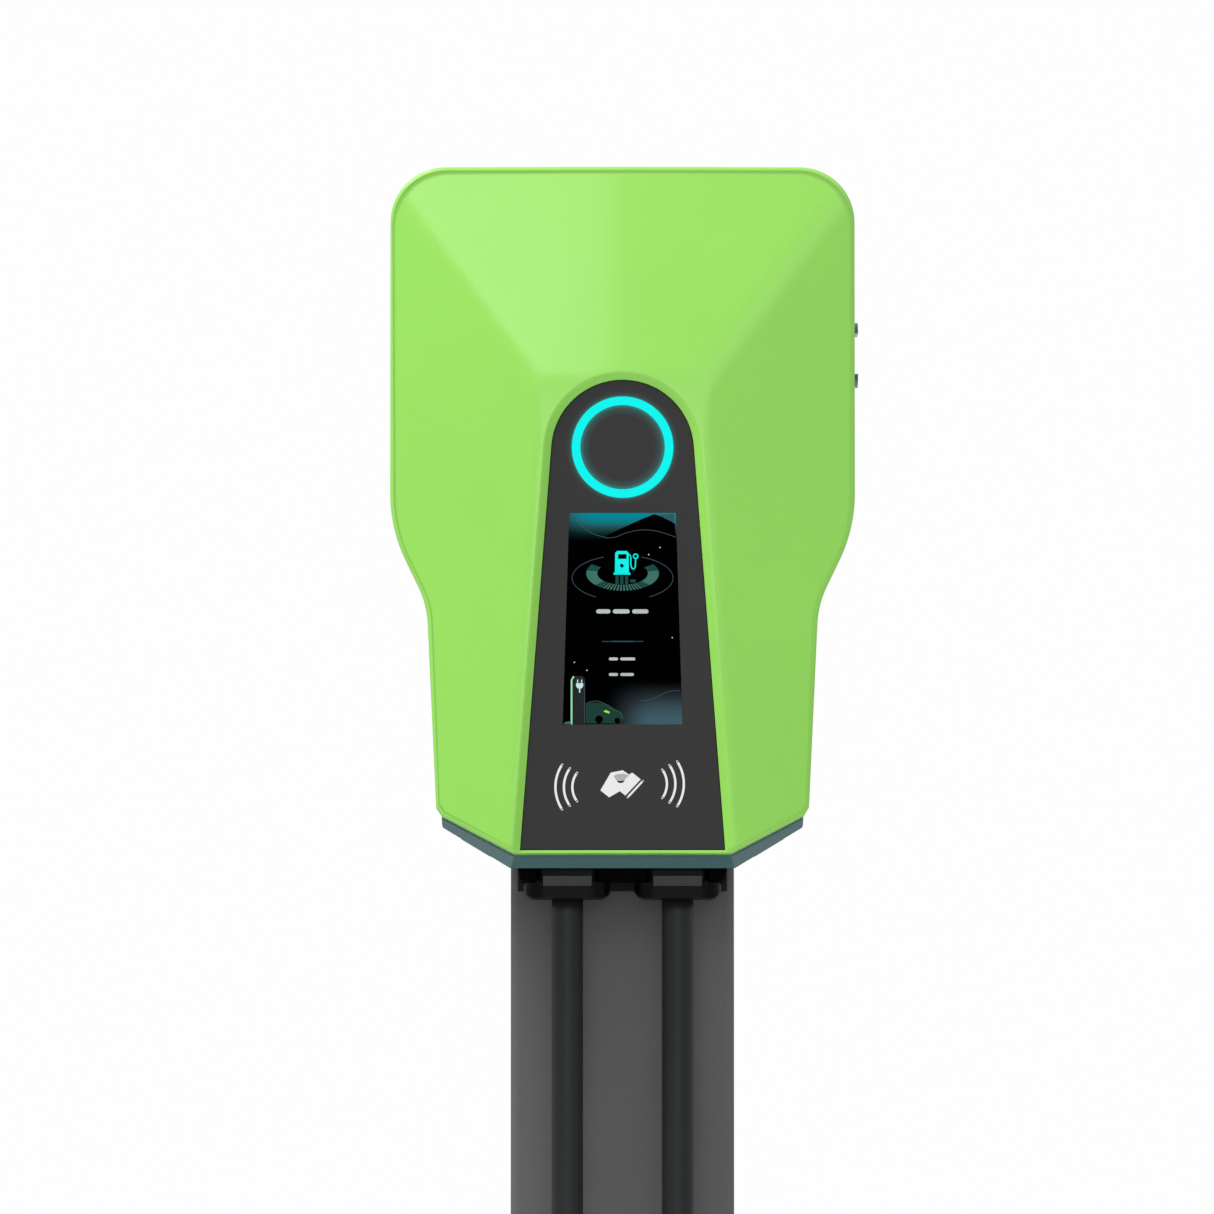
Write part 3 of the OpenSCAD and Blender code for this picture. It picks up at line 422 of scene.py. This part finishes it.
def make_cable(side):
    """One cable in place of its run, coil and tail, running up to its connector at the top."""
    name = "left" if side < 0 else "right"
    line = cable_line(side)
    cable = tube_mesh(f"{name}_cable", line, CABLE_D / 2, cable_jacket)
    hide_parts(f"{name}_cable_run", f"{name}_cable_coil", f"{name}_cable_tail")
    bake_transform(cable)


for side in (-1, 1):
    make_cable(side)


# ---------- cover ----------

# The head's outline and the panel's, as in the CAD source, in millimetres above HEAD_Z
COVER_HALF = [(82, 0), (141, 31), (148.5, 190), (176.5, 248), (176.5, 523.5)]
COVER_RADII = [2, 7, 77, 116, 42]
PANEL_FOOT = (77, 3.2)
ARCH_R = 53.5
ARCH_H = 305
RIM_W = 7.6
RIM_LAND = 1.5
RECESS = 4.5
FLANK_FALL = 0.27
TOP_FALL = 0.19
RIDGE_FALL = 0.04
RIM_LEAN = 0.072
FLANK_START = 9.0
TOP_SLOPE_H = 366.0
AROUND_FALL = 0.06
RIDGE_SOFT = 8.0
RIDGE_FLAT = 18.0
FACET_BLEND = 3.6
AROUND_BLEND = 0.8
RIM_BLEND = 0.9
EDGE_R = 2.5
EDGE_REACH = 1.3
PANEL_GAP = 0.6
FLANGE_W = 7.0
WALL = 0.6
FAN_H = 200.0
FAN_RAYS = 540
TINY = 1e-9
TINIER = 1e-12


def arc_corner(before, corner, after, radius, steps):
    """Points of the arc that rounds one corner."""
    a = (before - corner) / np.linalg.norm(before - corner)
    b = (after - corner) / np.linalg.norm(after - corner)
    half = math.acos(float(a @ b)) / 2
    centre = corner + (a + b) / np.linalg.norm(a + b) * radius / math.sin(half)
    start = corner + a * radius / math.tan(half) - centre
    first = math.atan2(start[1], start[0])
    sweep = math.copysign(math.pi - 2 * half, -(a[0] * b[1] - a[1] * b[0]))
    angles = first + sweep * np.arange(steps + 1) / steps
    return [centre + radius * np.array([math.cos(t), math.sin(t)]) for t in angles]


def cover_outline(steps=24):
    """The head's outline from the front, with its corners rounded."""
    half = [np.array(p, float) for p in COVER_HALF]
    points = half + [np.array([-p[0], p[1]]) for p in reversed(half)]
    radii = COVER_RADII + COVER_RADII[::-1]
    count = len(points)
    return np.array([
        p for i in range(count)
        for p in arc_corner(points[i - 1], points[i], points[(i + 1) % count], radii[i], steps)
    ])


def panel_distance(x, h):
    """How far a point is outside the panel's edge, in millimetres (negative inside)."""
    foot = np.array(PANEL_FOOT, float)
    reach = foot - np.array([0, ARCH_H])
    meet = math.atan2(reach[1], reach[0]) + math.acos(ARCH_R / np.linalg.norm(reach))
    touch = np.array([ARCH_R * math.cos(meet), ARCH_H + ARCH_R * math.sin(meet)])
    along = (touch - foot) / np.linalg.norm(touch - foot)
    outward = np.array([along[1], -along[0]])
    ax = np.abs(x)
    beside = (ax - foot[0]) * outward[0] + (h - foot[1]) * outward[1]
    below = foot[1] - h
    arch = np.hypot(ax, h - ARCH_H) - ARCH_R
    high = (ax - touch[0]) * along[0] + (h - touch[1]) * along[1] > 0
    return np.where(high, arch, np.maximum(beside, below))


def edge_distance(x, h, outline):
    """How far a point is inside a closed outline, in millimetres."""
    nearest = np.full(np.shape(x), np.inf)
    for start, end in zip(outline, np.roll(outline, -1, axis=0)):
        edge = end - start
        squared = float(edge @ edge)
        if squared < TINY:
            continue
        share = np.clip(((x - start[0]) * edge[0] + (h - start[1]) * edge[1]) / squared, 0, 1)
        gap = np.hypot(x - start[0] - share * edge[0], h - start[1] - share * edge[1])
        nearest = np.minimum(nearest, gap)
    return nearest


def soft_max(a, b, width):
    """The greater of two, with the change from one to the other rounded over width."""
    return np.maximum(a, b) + np.maximum(width - np.abs(a - b), 0) ** 2 / (4 * width)


def cover_fall(x, h):
    """How far the cover's outer face falls back from its rim plane, in millimetres."""
    beyond = panel_distance(x, h)
    flank = FLANK_FALL * (np.abs(x) - (PANEL_FOOT[0] + FLANK_START) + RIM_LEAN * h)
    ridge = RIDGE_FALL * (np.sqrt(x * x + RIDGE_SOFT ** 2 + RIDGE_FLAT ** 2) - RIDGE_FLAT)
    top = TOP_FALL * (h - TOP_SLOPE_H) + ridge
    around = AROUND_FALL * np.maximum(beyond - RIM_W, 0)
    outer = soft_max(soft_max(flank, top, FACET_BLEND), around, AROUND_BLEND)
    inner = RECESS * (1 - beyond / (RIM_W - RIM_LAND))
    return np.maximum(soft_max(outer, inner, RIM_BLEND), 0)


def cross_ray(outline, centre, angles):
    """How far an outline lies from centre in each direction."""
    farthest = np.zeros(len(angles))
    for k, angle in enumerate(angles):
        ray = np.array([math.cos(angle), math.sin(angle)])
        for start, end in zip(outline, np.roll(outline, -1, axis=0)):
            edge = end - start
            slant = ray[0] * edge[1] - ray[1] * edge[0]
            if abs(slant) < TINIER:
                continue
            to_start = start - centre
            reach = (to_start[0] * edge[1] - to_start[1] * edge[0]) / slant
            share = (to_start[0] * ray[1] - to_start[1] * ray[0]) / slant
            if reach > 0 and -TINY <= share <= 1 + TINY:
                farthest[k] = max(farthest[k], reach)
    return farthest


def panel_outline(grow, steps=48):
    """The panel's outline, moved out by grow."""
    foot = np.array([PANEL_FOOT[0] + grow, PANEL_FOOT[1] - grow])
    reach = foot - np.array([0, ARCH_H])
    radius = ARCH_R + grow
    meet = math.atan2(reach[1], reach[0]) + math.acos(radius / np.linalg.norm(reach))
    angles = meet + (math.pi - 2 * meet) * np.arange(steps + 1) / steps
    arch = [(radius * math.cos(t), ARCH_H + radius * math.sin(t)) for t in angles]
    return np.array([tuple(foot), *arch, (-foot[0], foot[1])])


def make_cover():
    """One smooth skin from the panel's edge out over the rim and flanks to the seam."""
    outer = cover_outline()
    inner = panel_outline(PANEL_GAP)
    centre = np.array([0.0, FAN_H])
    plain = np.linspace(-math.pi, math.pi, FAN_RAYS, endpoint=False)
    corners = [math.atan2(p[1] - centre[1], p[0] - centre[0]) for p in [*inner, *outer]]
    angles = np.unique(np.round(np.concatenate([plain, corners]), 4))
    angles = angles[np.concatenate([[True], np.diff(angles) > 0.0015])]
    r_in = cross_ray(inner, centre, angles)
    r_out = cross_ray(outer, centre, angles)
    directions = np.stack([np.cos(angles), np.sin(angles)], axis=1)
    near_rim = np.concatenate([np.linspace(0, 14, 22), [17, 21, 26]])
    near_edge = EDGE_R * (1 - np.cos(np.linspace(0, math.pi / 2, 8)))[::-1]
    rows = []
    for near in near_rim:
        rows.append(np.minimum(r_in + near * 1.02, r_in + (r_out - r_in) * (0.3 + near / 60)))
    span_start = rows[-1]
    span_end = np.maximum(r_out - EDGE_R * EDGE_REACH, span_start)
    for share in np.linspace(0, 1, 46)[1:]:
        rows.append(span_start + (span_end - span_start) * share)
    for near in near_edge:
        rows.append(np.maximum(r_out - near * EDGE_REACH, rows[-1]))
    radii = np.array(rows)
    xs = centre[0] + radii * directions[:, 0]
    hs = centre[1] + radii * directions[:, 1]
    inside = np.minimum(edge_distance(xs, hs, outer), EDGE_R)
    rounding = EDGE_R - np.sqrt(np.maximum(EDGE_R ** 2 - (EDGE_R - inside) ** 2, 0))
    depth = FRONT_Y + (cover_fall(xs, hs) + rounding) * MM
    back = np.full(len(angles), SEAM_Y)
    rings = [(xs[i], hs[i], depth[i]) for i in range(len(radii))]
    first = rings[0]
    lip = (first[0], first[1], np.full(len(angles), PANEL_Y + 1.5 * MM))
    last = rings[-1]
    side = (last[0], last[1], back - WALL * MM)
    turned, flange = (
        (last[0] - inset * directions[:, 0], last[1] - inset * directions[:, 1], back)
        for inset in (WALL, FLANGE_W))
    rings = [lip, *rings, side, turned, flange]
    vertices = [
        (x * MM, y, HEAD_Z + h * MM) for ring in rings for x, h, y in zip(*ring)]
    faces = ring_faces(len(rings), len(angles))
    obj = mesh_object("cover_skin", vertices, faces, [cover_green])
    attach(obj, "post")
    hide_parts("front_cover")


make_cover()


# ---------- painted frame nodes ----------

paint("base_plate", column_grey, 1.2 * MM)
paint("base_gussets", column_grey, 0.6 * MM)
paint("column", column_grey, 0.5 * MM)
paint("column_cap", column_grey, 0.8 * MM)
paint("service_cover", column_grey, 0.8 * MM)
paint("service_screws", steel, 0.3 * MM)
paint("supply_terminals", terminal_orange, 0.3 * MM)
paint("earth_stud", brass, 0.2 * MM)
paint("shell_gasket", rubber_black)
paint("rear_shell", shell_teal, 0.8 * MM)
paint("cover_screws", steel, 0.2 * MM)
paint("front_panel", panel_dark(), 0.4 * MM)
paint("display_module", inner_black, 0.4 * MM)
paint("light_ring", ring_cyan, 0.4 * MM)
paint("light_board", solder_mask)
paint("card_reader", solder_mask)
paint("speaker", inner_black, 0.3 * MM)
paint("chassis_plate", zinc, 0.3 * MM)
paint("chassis_bolts", steel, 0.2 * MM)
paint("main_board", solder_mask)
paint("board_spacers", brass)
paint("din_rail", zinc, 0.2 * MM)
paint("power_supply", zinc, 0.5 * MM)
paint("energy_meters", device_white, 0.8 * MM)
paint("contactors", device_white, 0.8 * MM)
paint("breaker", device_white, 0.8 * MM)
paint("antenna", inner_black, 0.5 * MM)
paint("holster_bracket", bracket_grey, 0.3 * MM)
paint("holster_housing", holster_black, 0.6 * MM)
paint("holster_screws", steel, 0.2 * MM)
paint("park_switches", inner_black, 0.4 * MM)
paint("stop_guard", shell_teal, 1.2 * MM, 3)
paint("stop_contact_block", inner_black, 0.4 * MM)
paint("stop_stem", insulator_grey, 0.3 * MM)
paint("stop_button", stop_red, 0.8 * MM, 3)
for name in ("left", "right"):
    paint(f"{name}_cable_gland", rubber_black, 0.6 * MM)
    paint(f"{name}_connector_shell", connector_black, 1.6 * MM, 4)
    paint(f"{name}_connector_contacts", insulator_grey, 0.3 * MM)
    paint(f"{name}_connector_trigger", trigger_grey, 0.5 * MM, 3)
    paint(f"{name}_cable_grommet", rubber_black, 0.5 * MM)
    paint(f"{name}_cable_ties", tie_black, 0.4 * MM)


# ---------- display picture ----------

SCREEN_DARK = (0.0004, 0.0004, 0.0005)


def lit_share(material, position, start, end):
    """A smooth rise from 0 to 1 along one direction of the display."""
    node = material.node_tree.nodes.new("ShaderNodeMapRange")
    node.interpolation_type = "SMOOTHSTEP"
    node.inputs["From Min"].default_value = start
    node.inputs["From Max"].default_value = end
    material.node_tree.links.new(position, node.inputs["Value"])
    return node.outputs["Result"]


def multiply(material, a, b):
    node = material.node_tree.nodes.new("ShaderNodeMath")
    node.operation = "MULTIPLY"
    material.node_tree.links.new(a, node.inputs[0])
    material.node_tree.links.new(b, node.inputs[1])
    return node.outputs[0]


def screen_glass():
    """The black display behind its window, with a teal sky at the top and blue haze at the foot."""
    material = surface("screen_glass", SCREEN_DARK, 0.5, grain=2500, bump=0.02, shine=0.0)
    tree = material.node_tree
    shader = shader_of(material)
    split = tree.nodes.new("ShaderNodeSeparateXYZ")
    tree.links.new(place_coordinates(tree.nodes), split.inputs["Vector"])
    across, up = split.outputs["X"], split.outputs["Z"]
    foot, top = float(screen_low[2]), float(screen_high[2])
    sky_rise = lit_share(material, up, top - 22 * MM, top)
    sky_left = lit_share(material, across, -72 * MM, -18 * MM)
    sky = multiply(material, sky_rise, sky_left)
    sky_colour = ramp(material, sky, [
        (0.0, BLACK), (0.18, (0.004, 0.014, 0.016)), (0.5, (0.015, 0.075, 0.08)),
        (0.8, (0.006, 0.19, 0.23)), (1.0, (0.0, 0.25, 0.31))])
    haze_rise = lit_share(material, up, foot + 34 * MM, foot)
    haze_right = lit_share(material, across, -14 * MM, 24 * MM)
    haze = multiply(material, haze_rise, haze_right)
    haze_colour = ramp(material, haze, [
        (0.0, BLACK), (0.35, (0.02, 0.028, 0.034)), (1.0, (0.05, 0.11, 0.14))])
    both = tree.nodes.new("ShaderNodeVectorMath")
    both.operation = "ADD"
    tree.links.new(sky_colour, both.inputs[0])
    tree.links.new(haze_colour, both.inputs[1])
    tree.links.new(both.outputs["Vector"], shader.inputs["Emission Color"])
    shader.inputs["Emission Strength"].default_value = 1.0
    return material


paint("display_window", screen_glass(), 0.2 * MM)

screen_black = surface("screen_black", SCREEN_DARK, 0.5, grain=2500, bump=0.02, shine=0.0)
screen_cyan = glow("screen_cyan", linear(0, 250, 240), 0.97)
screen_teal = glow("screen_teal", linear(62, 118, 106), 0.9)
screen_deep = glow("screen_deep", linear(18, 74, 70), 0.9)
screen_slate = glow("screen_slate", linear(62, 78, 100), 0.9)
screen_mist = glow("screen_mist", linear(66, 82, 90), 0.9)
screen_sky = glow("screen_sky", linear(48, 96, 100), 0.9)
screen_mint = glow("screen_mint", linear(150, 232, 182), 0.95)
screen_pale = glow("screen_pale", linear(196, 204, 204), 0.9)
screen_white = glow("screen_white", linear(205, 240, 238), 0.95)
car_green = glow("car_green", linear(20, 62, 52), 0.9)
pillar_dark = glow("pillar_dark", linear(30, 36, 34), 0.9)
lamp_green = glow("lamp_green", linear(170, 235, 90), 1.0)

SCREEN_Y = float(screen_low[1])


def on_screen(x, h):
    """A place on the screen, in millimetres right of the middle and above the screen's foot."""
    return (x * MM, SCREEN_Y, float(screen_low[2]) + h * MM)


def smooth_band(points):
    """A smooth flat line through a few points."""
    return smooth_line([(x, h, 0) for x, h in points], 1.2)[:, :2]


class Art:
    """Thin raised shapes on a face that looks to the front, gathered into one piece."""

    def __init__(self, name, place, lift=0.3 * MM):
        self.name = name
        self.place = place
        self.lift = lift
        self.vertices = []
        self.faces = []
        self.looks = []
        self.materials = []

    def shape(self, outline, material, level=0):
        """A flat shape with upright edges, anticlockwise from the front; higher levels lie on top."""
        outline = [np.array(p, float) for p in outline]
        first = len(self.vertices)
        count = len(outline)
        if material not in self.materials:
            self.materials.append(material)
        for depth in (0.0, self.lift * (0.5 + 0.12 * level)):
            for x, h in outline:
                px, py, pz = self.place(x, h)
                self.vertices.append((px, py - depth, pz))
        look = self.materials.index(material)
        self.faces.append(tuple(first + count + k for k in range(count)))
        self.looks.append(look)
        for k in range(count):
            n = (k + 1) % count
            self.faces.append((first + k, first + n, first + count + n, first + count + k))
            self.looks.append(look)

    def line(self, points, width, material, level=0, rounded=True):
        """A band of even width along a line, with round ends."""
        points = np.array(points, float)
        along = np.gradient(points, axis=0)
        along /= np.maximum(np.linalg.norm(along, axis=1), 1e-9)[:, None]
        side = np.stack([-along[:, 1], along[:, 0]], axis=1) * width / 2
        right, left = points - side, points + side
        for a, b, c, d in zip(right, right[1:], left[1:], left):
            self.shape([a, b, c, d], material, level)
        if rounded:
            self.disc(points[0], width / 2, material, 10, level)
            self.disc(points[-1], width / 2, material, 10, level)

    def arc(self, centre, radii, first, last, width, material, steps=24, level=0, rounded=True):
        angles = np.radians(np.linspace(first, last, steps + 1))
        points = [(centre[0] + radii[0] * math.cos(t), centre[1] + radii[1] * math.sin(t)) for t in angles]
        self.line(points, width, material, level, rounded)

    def ring_piece(self, centre, outer, inner, first, last, material, level=0):
        """A piece of the band between two ovals."""
        angles = np.radians(np.linspace(first, last, max(2, int(abs(last - first) / 4)) + 1))
        for t, u in zip(angles, angles[1:]):
            self.shape([
                (centre[0] + inner[0] * math.cos(t), centre[1] + inner[1] * math.sin(t)),
                (centre[0] + outer[0] * math.cos(t), centre[1] + outer[1] * math.sin(t)),
                (centre[0] + outer[0] * math.cos(u), centre[1] + outer[1] * math.sin(u)),
                (centre[0] + inner[0] * math.cos(u), centre[1] + inner[1] * math.sin(u)),
            ], material, level)

    def disc(self, centre, radius, material, steps=16, level=0):
        """A round shape, as an even polygon."""
        angles = np.arange(steps) * 2 * math.pi / steps
        rim = [(centre[0] + radius * math.cos(t), centre[1] + radius * math.sin(t)) for t in angles]
        self.shape(rim, material, level)

    def box(self, x0, h0, x1, h1, material, level=0):
        self.shape([(x0, h0), (x1, h0), (x1, h1), (x0, h1)], material, level)

    def make(self):
        obj = mesh_object(self.name, self.vertices, self.faces, self.materials, self.looks, False)
        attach(obj, "post")


def draw_sky(art):
    """A dark hill line over the sky's lower edge, with thin light curves."""
    hill = smooth_band([(-12.5, 142.8), (-4, 147), (4, 150.6), (14, 155.2), (24, 159.2)])
    art.shape([(-12.5, 138), (39.8, 138), (39.8, 151.8), (32, 156.5), *hill[::-1]], screen_black)
    art.shape([(27, 158.9), (32.5, 155.6), (39.4, 152.4), (39.1, 159.6)], screen_sky, 1)
    art.line(smooth_band([(-38.6, 159), (-32, 151.5), (-23.5, 144.8), (-11.5, 141)]), 0.45, screen_sky, 2)
    art.line(smooth_band([(-11.5, 141), (-5, 141.9), (4, 145.3), (15, 147.2), (27, 146), (40, 141.8)]),
             0.4, screen_mist, 2)


def draw_pump(art):
    """A charging pump with its hose, over a faint reflection."""
    art.shape([(-5.9, 113.6), (4.8, 113.6), (4.6, 129.6), (3.2, 131.2), (-4.2, 131.2), (-5.6, 129.6)],
              screen_cyan, 2)
    art.box(-6.8, 113.2, 5.9, 114.8, screen_cyan, 2)
    art.box(-3.4, 125.2, 3.0, 128.8, screen_black, 3)
    art.shape([(-2.3, 120.3), (-0.6, 118.2), (1.2, 119.8), (-0.6, 121.9)], screen_black, 3)
    art.line(smooth_band([(4.4, 129), (6.2, 126.8), (6.3, 120.5), (7.8, 117.4), (9.5, 119), (9.8, 125.6)]),
             0.9, screen_cyan, 2)
    art.arc((9.9, 127.2), (1.7, 1.7), 0, 360, 0.9, screen_cyan, 16, 2)
    for k in range(3):
        art.box(-5.4 + 3.6 * k, 106.0, -3.0 + 3.6 * k, 112.6, screen_deep, 1)
    art.box(5.6, 107.4, 9.8, 109.6, screen_deep, 1)


def draw_rings(art):
    """A dial round the pump, with a thin oval outside it."""
    centre, outer, inner = (0, 114.2), (27.5, 13.1), (19.2, 8.6)
    for first, last, material in (
            (148, 170, screen_deep), (170, 222, screen_teal), (222, 236, screen_deep),
            (304, 318, screen_deep), (318, 370, screen_teal), (370, 392, screen_deep)):
        art.ring_piece(centre, outer, inner, first, last, material)
    for k in range(12):
        art.ring_piece(centre, outer, inner, 237.5 + 5.6 * k, 240.7 + 5.6 * k, screen_teal)
    for first, last, material in (
            (112, 140, screen_mist), (140, 212, screen_slate), (212, 238, screen_mist)):
        art.arc((0, 110.8), (38.2, 17), first, last, 0.45, material, 26, 0, False)
        art.arc((0, 110.8), (38.2, 17), 180 - first, 180 - last, 0.45, material, 26, 0, False)


def draw_car(art):
    """A small car beside its charging pillar."""
    body = [(-28, 0.6), (-3.4, 0.6), (0.2, 3.4), (-0.6, 8.6), (-6, 11.6), (-11, 14.8), (-18, 16.2), (-28, 16)]
    art.shape(body, car_green)
    art.line(smooth_band([(-26, 16.6), (-19, 17.4), (-11.4, 14.4), (-8.6, 11.8), (-1.2, 8.4), (0.2, 4)]),
             0.5, screen_mist, 1)
    art.disc((-17.8, 3.6), 3.0, screen_black, 16, 1)
    art.disc((-4.0, 2.6), 2.2, screen_black, 16, 1)
    art.shape([(-14.6, 9.6), (-10.4, 8.0), (-9.6, 9.2), (-12.6, 10.8)], lamp_green, 2)
    pillar = [(-39, 0.2), (-28.6, 0.2), (-28.6, 34.4), (-30.4, 36.4), (-37, 36.4), (-39, 34)]
    art.shape(pillar, pillar_dark, 1)
    art.line([(-38.6, 0.4), (-38.6, 33.4), (-37.2, 35.8)], 1.3, screen_mint, 2)
    art.line([(-28.8, 0.6), (-28.8, 32)], 0.5, screen_mist, 2)
    for x in (-34, -31):
        art.line([(x, 31.6), (x, 33.4)], 0.8, screen_white, 2)
    plug = [(-35.2, 28.6), (-33.8, 27), (-31.2, 27), (-29.8, 28.6), (-29.8, 31), (-35.2, 31)]
    art.shape(plug, screen_white, 2)
    art.line([(-32.5, 27), (-32.5, 24.2)], 0.9, screen_white, 2)
    art.shape([(-44.6, 0.1), (-39.6, 0.1), (-39.6, 2.2), (-43.4, 1.6)], screen_teal)


def make_screen_art():
    art = Art("screen_art", on_screen)
    draw_sky(art)
    draw_rings(art)
    draw_pump(art)
    draw_car(art)
    for star in ((28.3, 133.8), (19.8, 128.4), (37.6, 65.5), (-36.5, 46.8), (-27, 40.8)):
        art.disc(star, 0.55, screen_pale, 10, 1)
    for x0, x1 in ((-20, -9.2), (-7.4, 5.4), (7.2, 19.6)):
        art.line([(x0 + 1.6, 85.4), (x1 - 1.6, 85.4)], 3.2, screen_pale, 1)
    art.box(-15.6, 62.4, 15.6, 62.9, screen_slate, 1)
    art.box(-8, 62.3, 8, 63.0, screen_sky, 2)
    for h in (49.4, 37.6):
        for x0, x1 in ((-10.4, -3.4), (-1.8, 8.6 if h < 40 else 9.6)):
            art.line([(x0 + 1.1, h), (x1 - 1.1, h)], 2.2, screen_pale, 1)
    art.line(smooth_band([(14, 17.5), (24, 19.5), (34, 24.5), (43, 25.5)]), 0.4, screen_mist, 1)
    art.line(smooth_band([(24, 12), (33, 11.2), (44, 14.2)]), 0.4, screen_mist, 1)
    art.make()


make_screen_art()


# ---------- tap-card symbols ----------

def on_panel(x, h):
    """A place on the panel, in millimetres right of the middle and above the head's lower edge."""
    return (x * MM, PANEL_Y, HEAD_Z + h * MM)


def make_tap_symbols():
    """Three arcs either side of a hand that holds a card."""
    art = Art("tap_symbols", on_panel)
    for side, centre in ((-1, (-19.8, 50.4)), (1, (15.3, 52.8))):
        middle = 180 if side < 0 else 0
        for reach, spread in ((18.2, 36), (24.6, 35), (31.0, 33)):
            art.arc(centre, (reach, reach), middle - spread, middle + spread, 1.75, print_white, 20)
    hand = [(-16.8, 47.9), (-10.2, 42.6), (-2.1, 47.3), (2.1, 44.0), (13.7, 56.2), (7.3, 61.3),
            (5.0, 59.8), (0.1, 63.1), (-9.0, 61.3)]
    thumb = [(-1.2, 54.3), (1.4, 55.9), (5.0, 59.5), (0.6, 60.6), (-4.4, 60.1), (-6.9, 58.7), (-4.2, 54.9)]
    gap = [(-4.6, 55.0), (-2.6, 53.5), (0.2, 53.7), (1.8, 55.7), (-0.6, 54.9), (-2.6, 55.0)]
    art.shape(hand, print_white)
    art.shape(thumb, print_grey, 1)
    art.shape(gap, holster_black, 2)
    art.line([(3.8, 42.6), (15.2, 54.9)], 1.5, print_white)
    art.make()


make_tap_symbols()


# ---------- floor and light ----------

def make_stage():
    """A plain pale floor."""
    floor_material = surface("floor_pale", (0.86, 0.86, 0.86), 0.8, grain=120, bump=0.02, vary=0.004)
    size = 14.0
    corners = [(-size, -size, 0), (size, -size, 0), (size, size, 0), (-size, size, 0)]
    floor = mesh_object("floor", corners, [(0, 1, 2, 3)], [floor_material], smooth=False)


def area_light(name, place, aim, width, height, power):
    """A rectangular light at place that shines towards aim."""
    data = bpy.data.lights.new(name, "AREA")
    data.energy = power
    data.shape = "RECTANGLE"
    data.size = width
    data.size_y = height
    light = bpy.data.objects.new(name, data)
    bpy.context.scene.collection.objects.link(light)
    light.location = place
    direction = Vector(aim) - Vector(place)
    light.rotation_euler = direction.to_track_quat("-Z", "Y").to_euler()


def make_world(backdrop, ambient):
    """A white backdrop behind a softer, even light from all round."""
    world = bpy.data.worlds.new("world")
    world.use_nodes = True
    bpy.context.scene.world = world
    tree = world.node_tree
    rays = tree.nodes.new("ShaderNodeLightPath")
    level = tree.nodes.new("ShaderNodeMapRange")
    level.inputs["To Min"].default_value = ambient
    level.inputs["To Max"].default_value = backdrop
    tree.links.new(rays.outputs["Is Camera Ray"], level.inputs["Value"])
    tree.links.new(level.outputs["Result"], tree.nodes["Background"].inputs["Strength"])
    tree.nodes["Background"].inputs["Color"].default_value = (1, 1, 1, 1)


make_stage()
make_world(0.99, 0.485)
area_light("key", (-1.7, -0.9, 4.6), (0, -0.1, 1.3), 1.8, 1.8, 108)
area_light("high", (-0.8, -4.2, 3.25), (0, -0.1, 1.5), 1.2, 1.2, 16)
area_light("strip", (-0.1, -4.4, 1.68), (0, -0.1, 1.4), 1.7, 0.6, 11)
area_light("side", (1.5, -4.9, 2.55), (0, -0.1, 1.4), 1.4, 1.4, 9)
bpy.context.scene.view_settings.view_transform = "Standard"
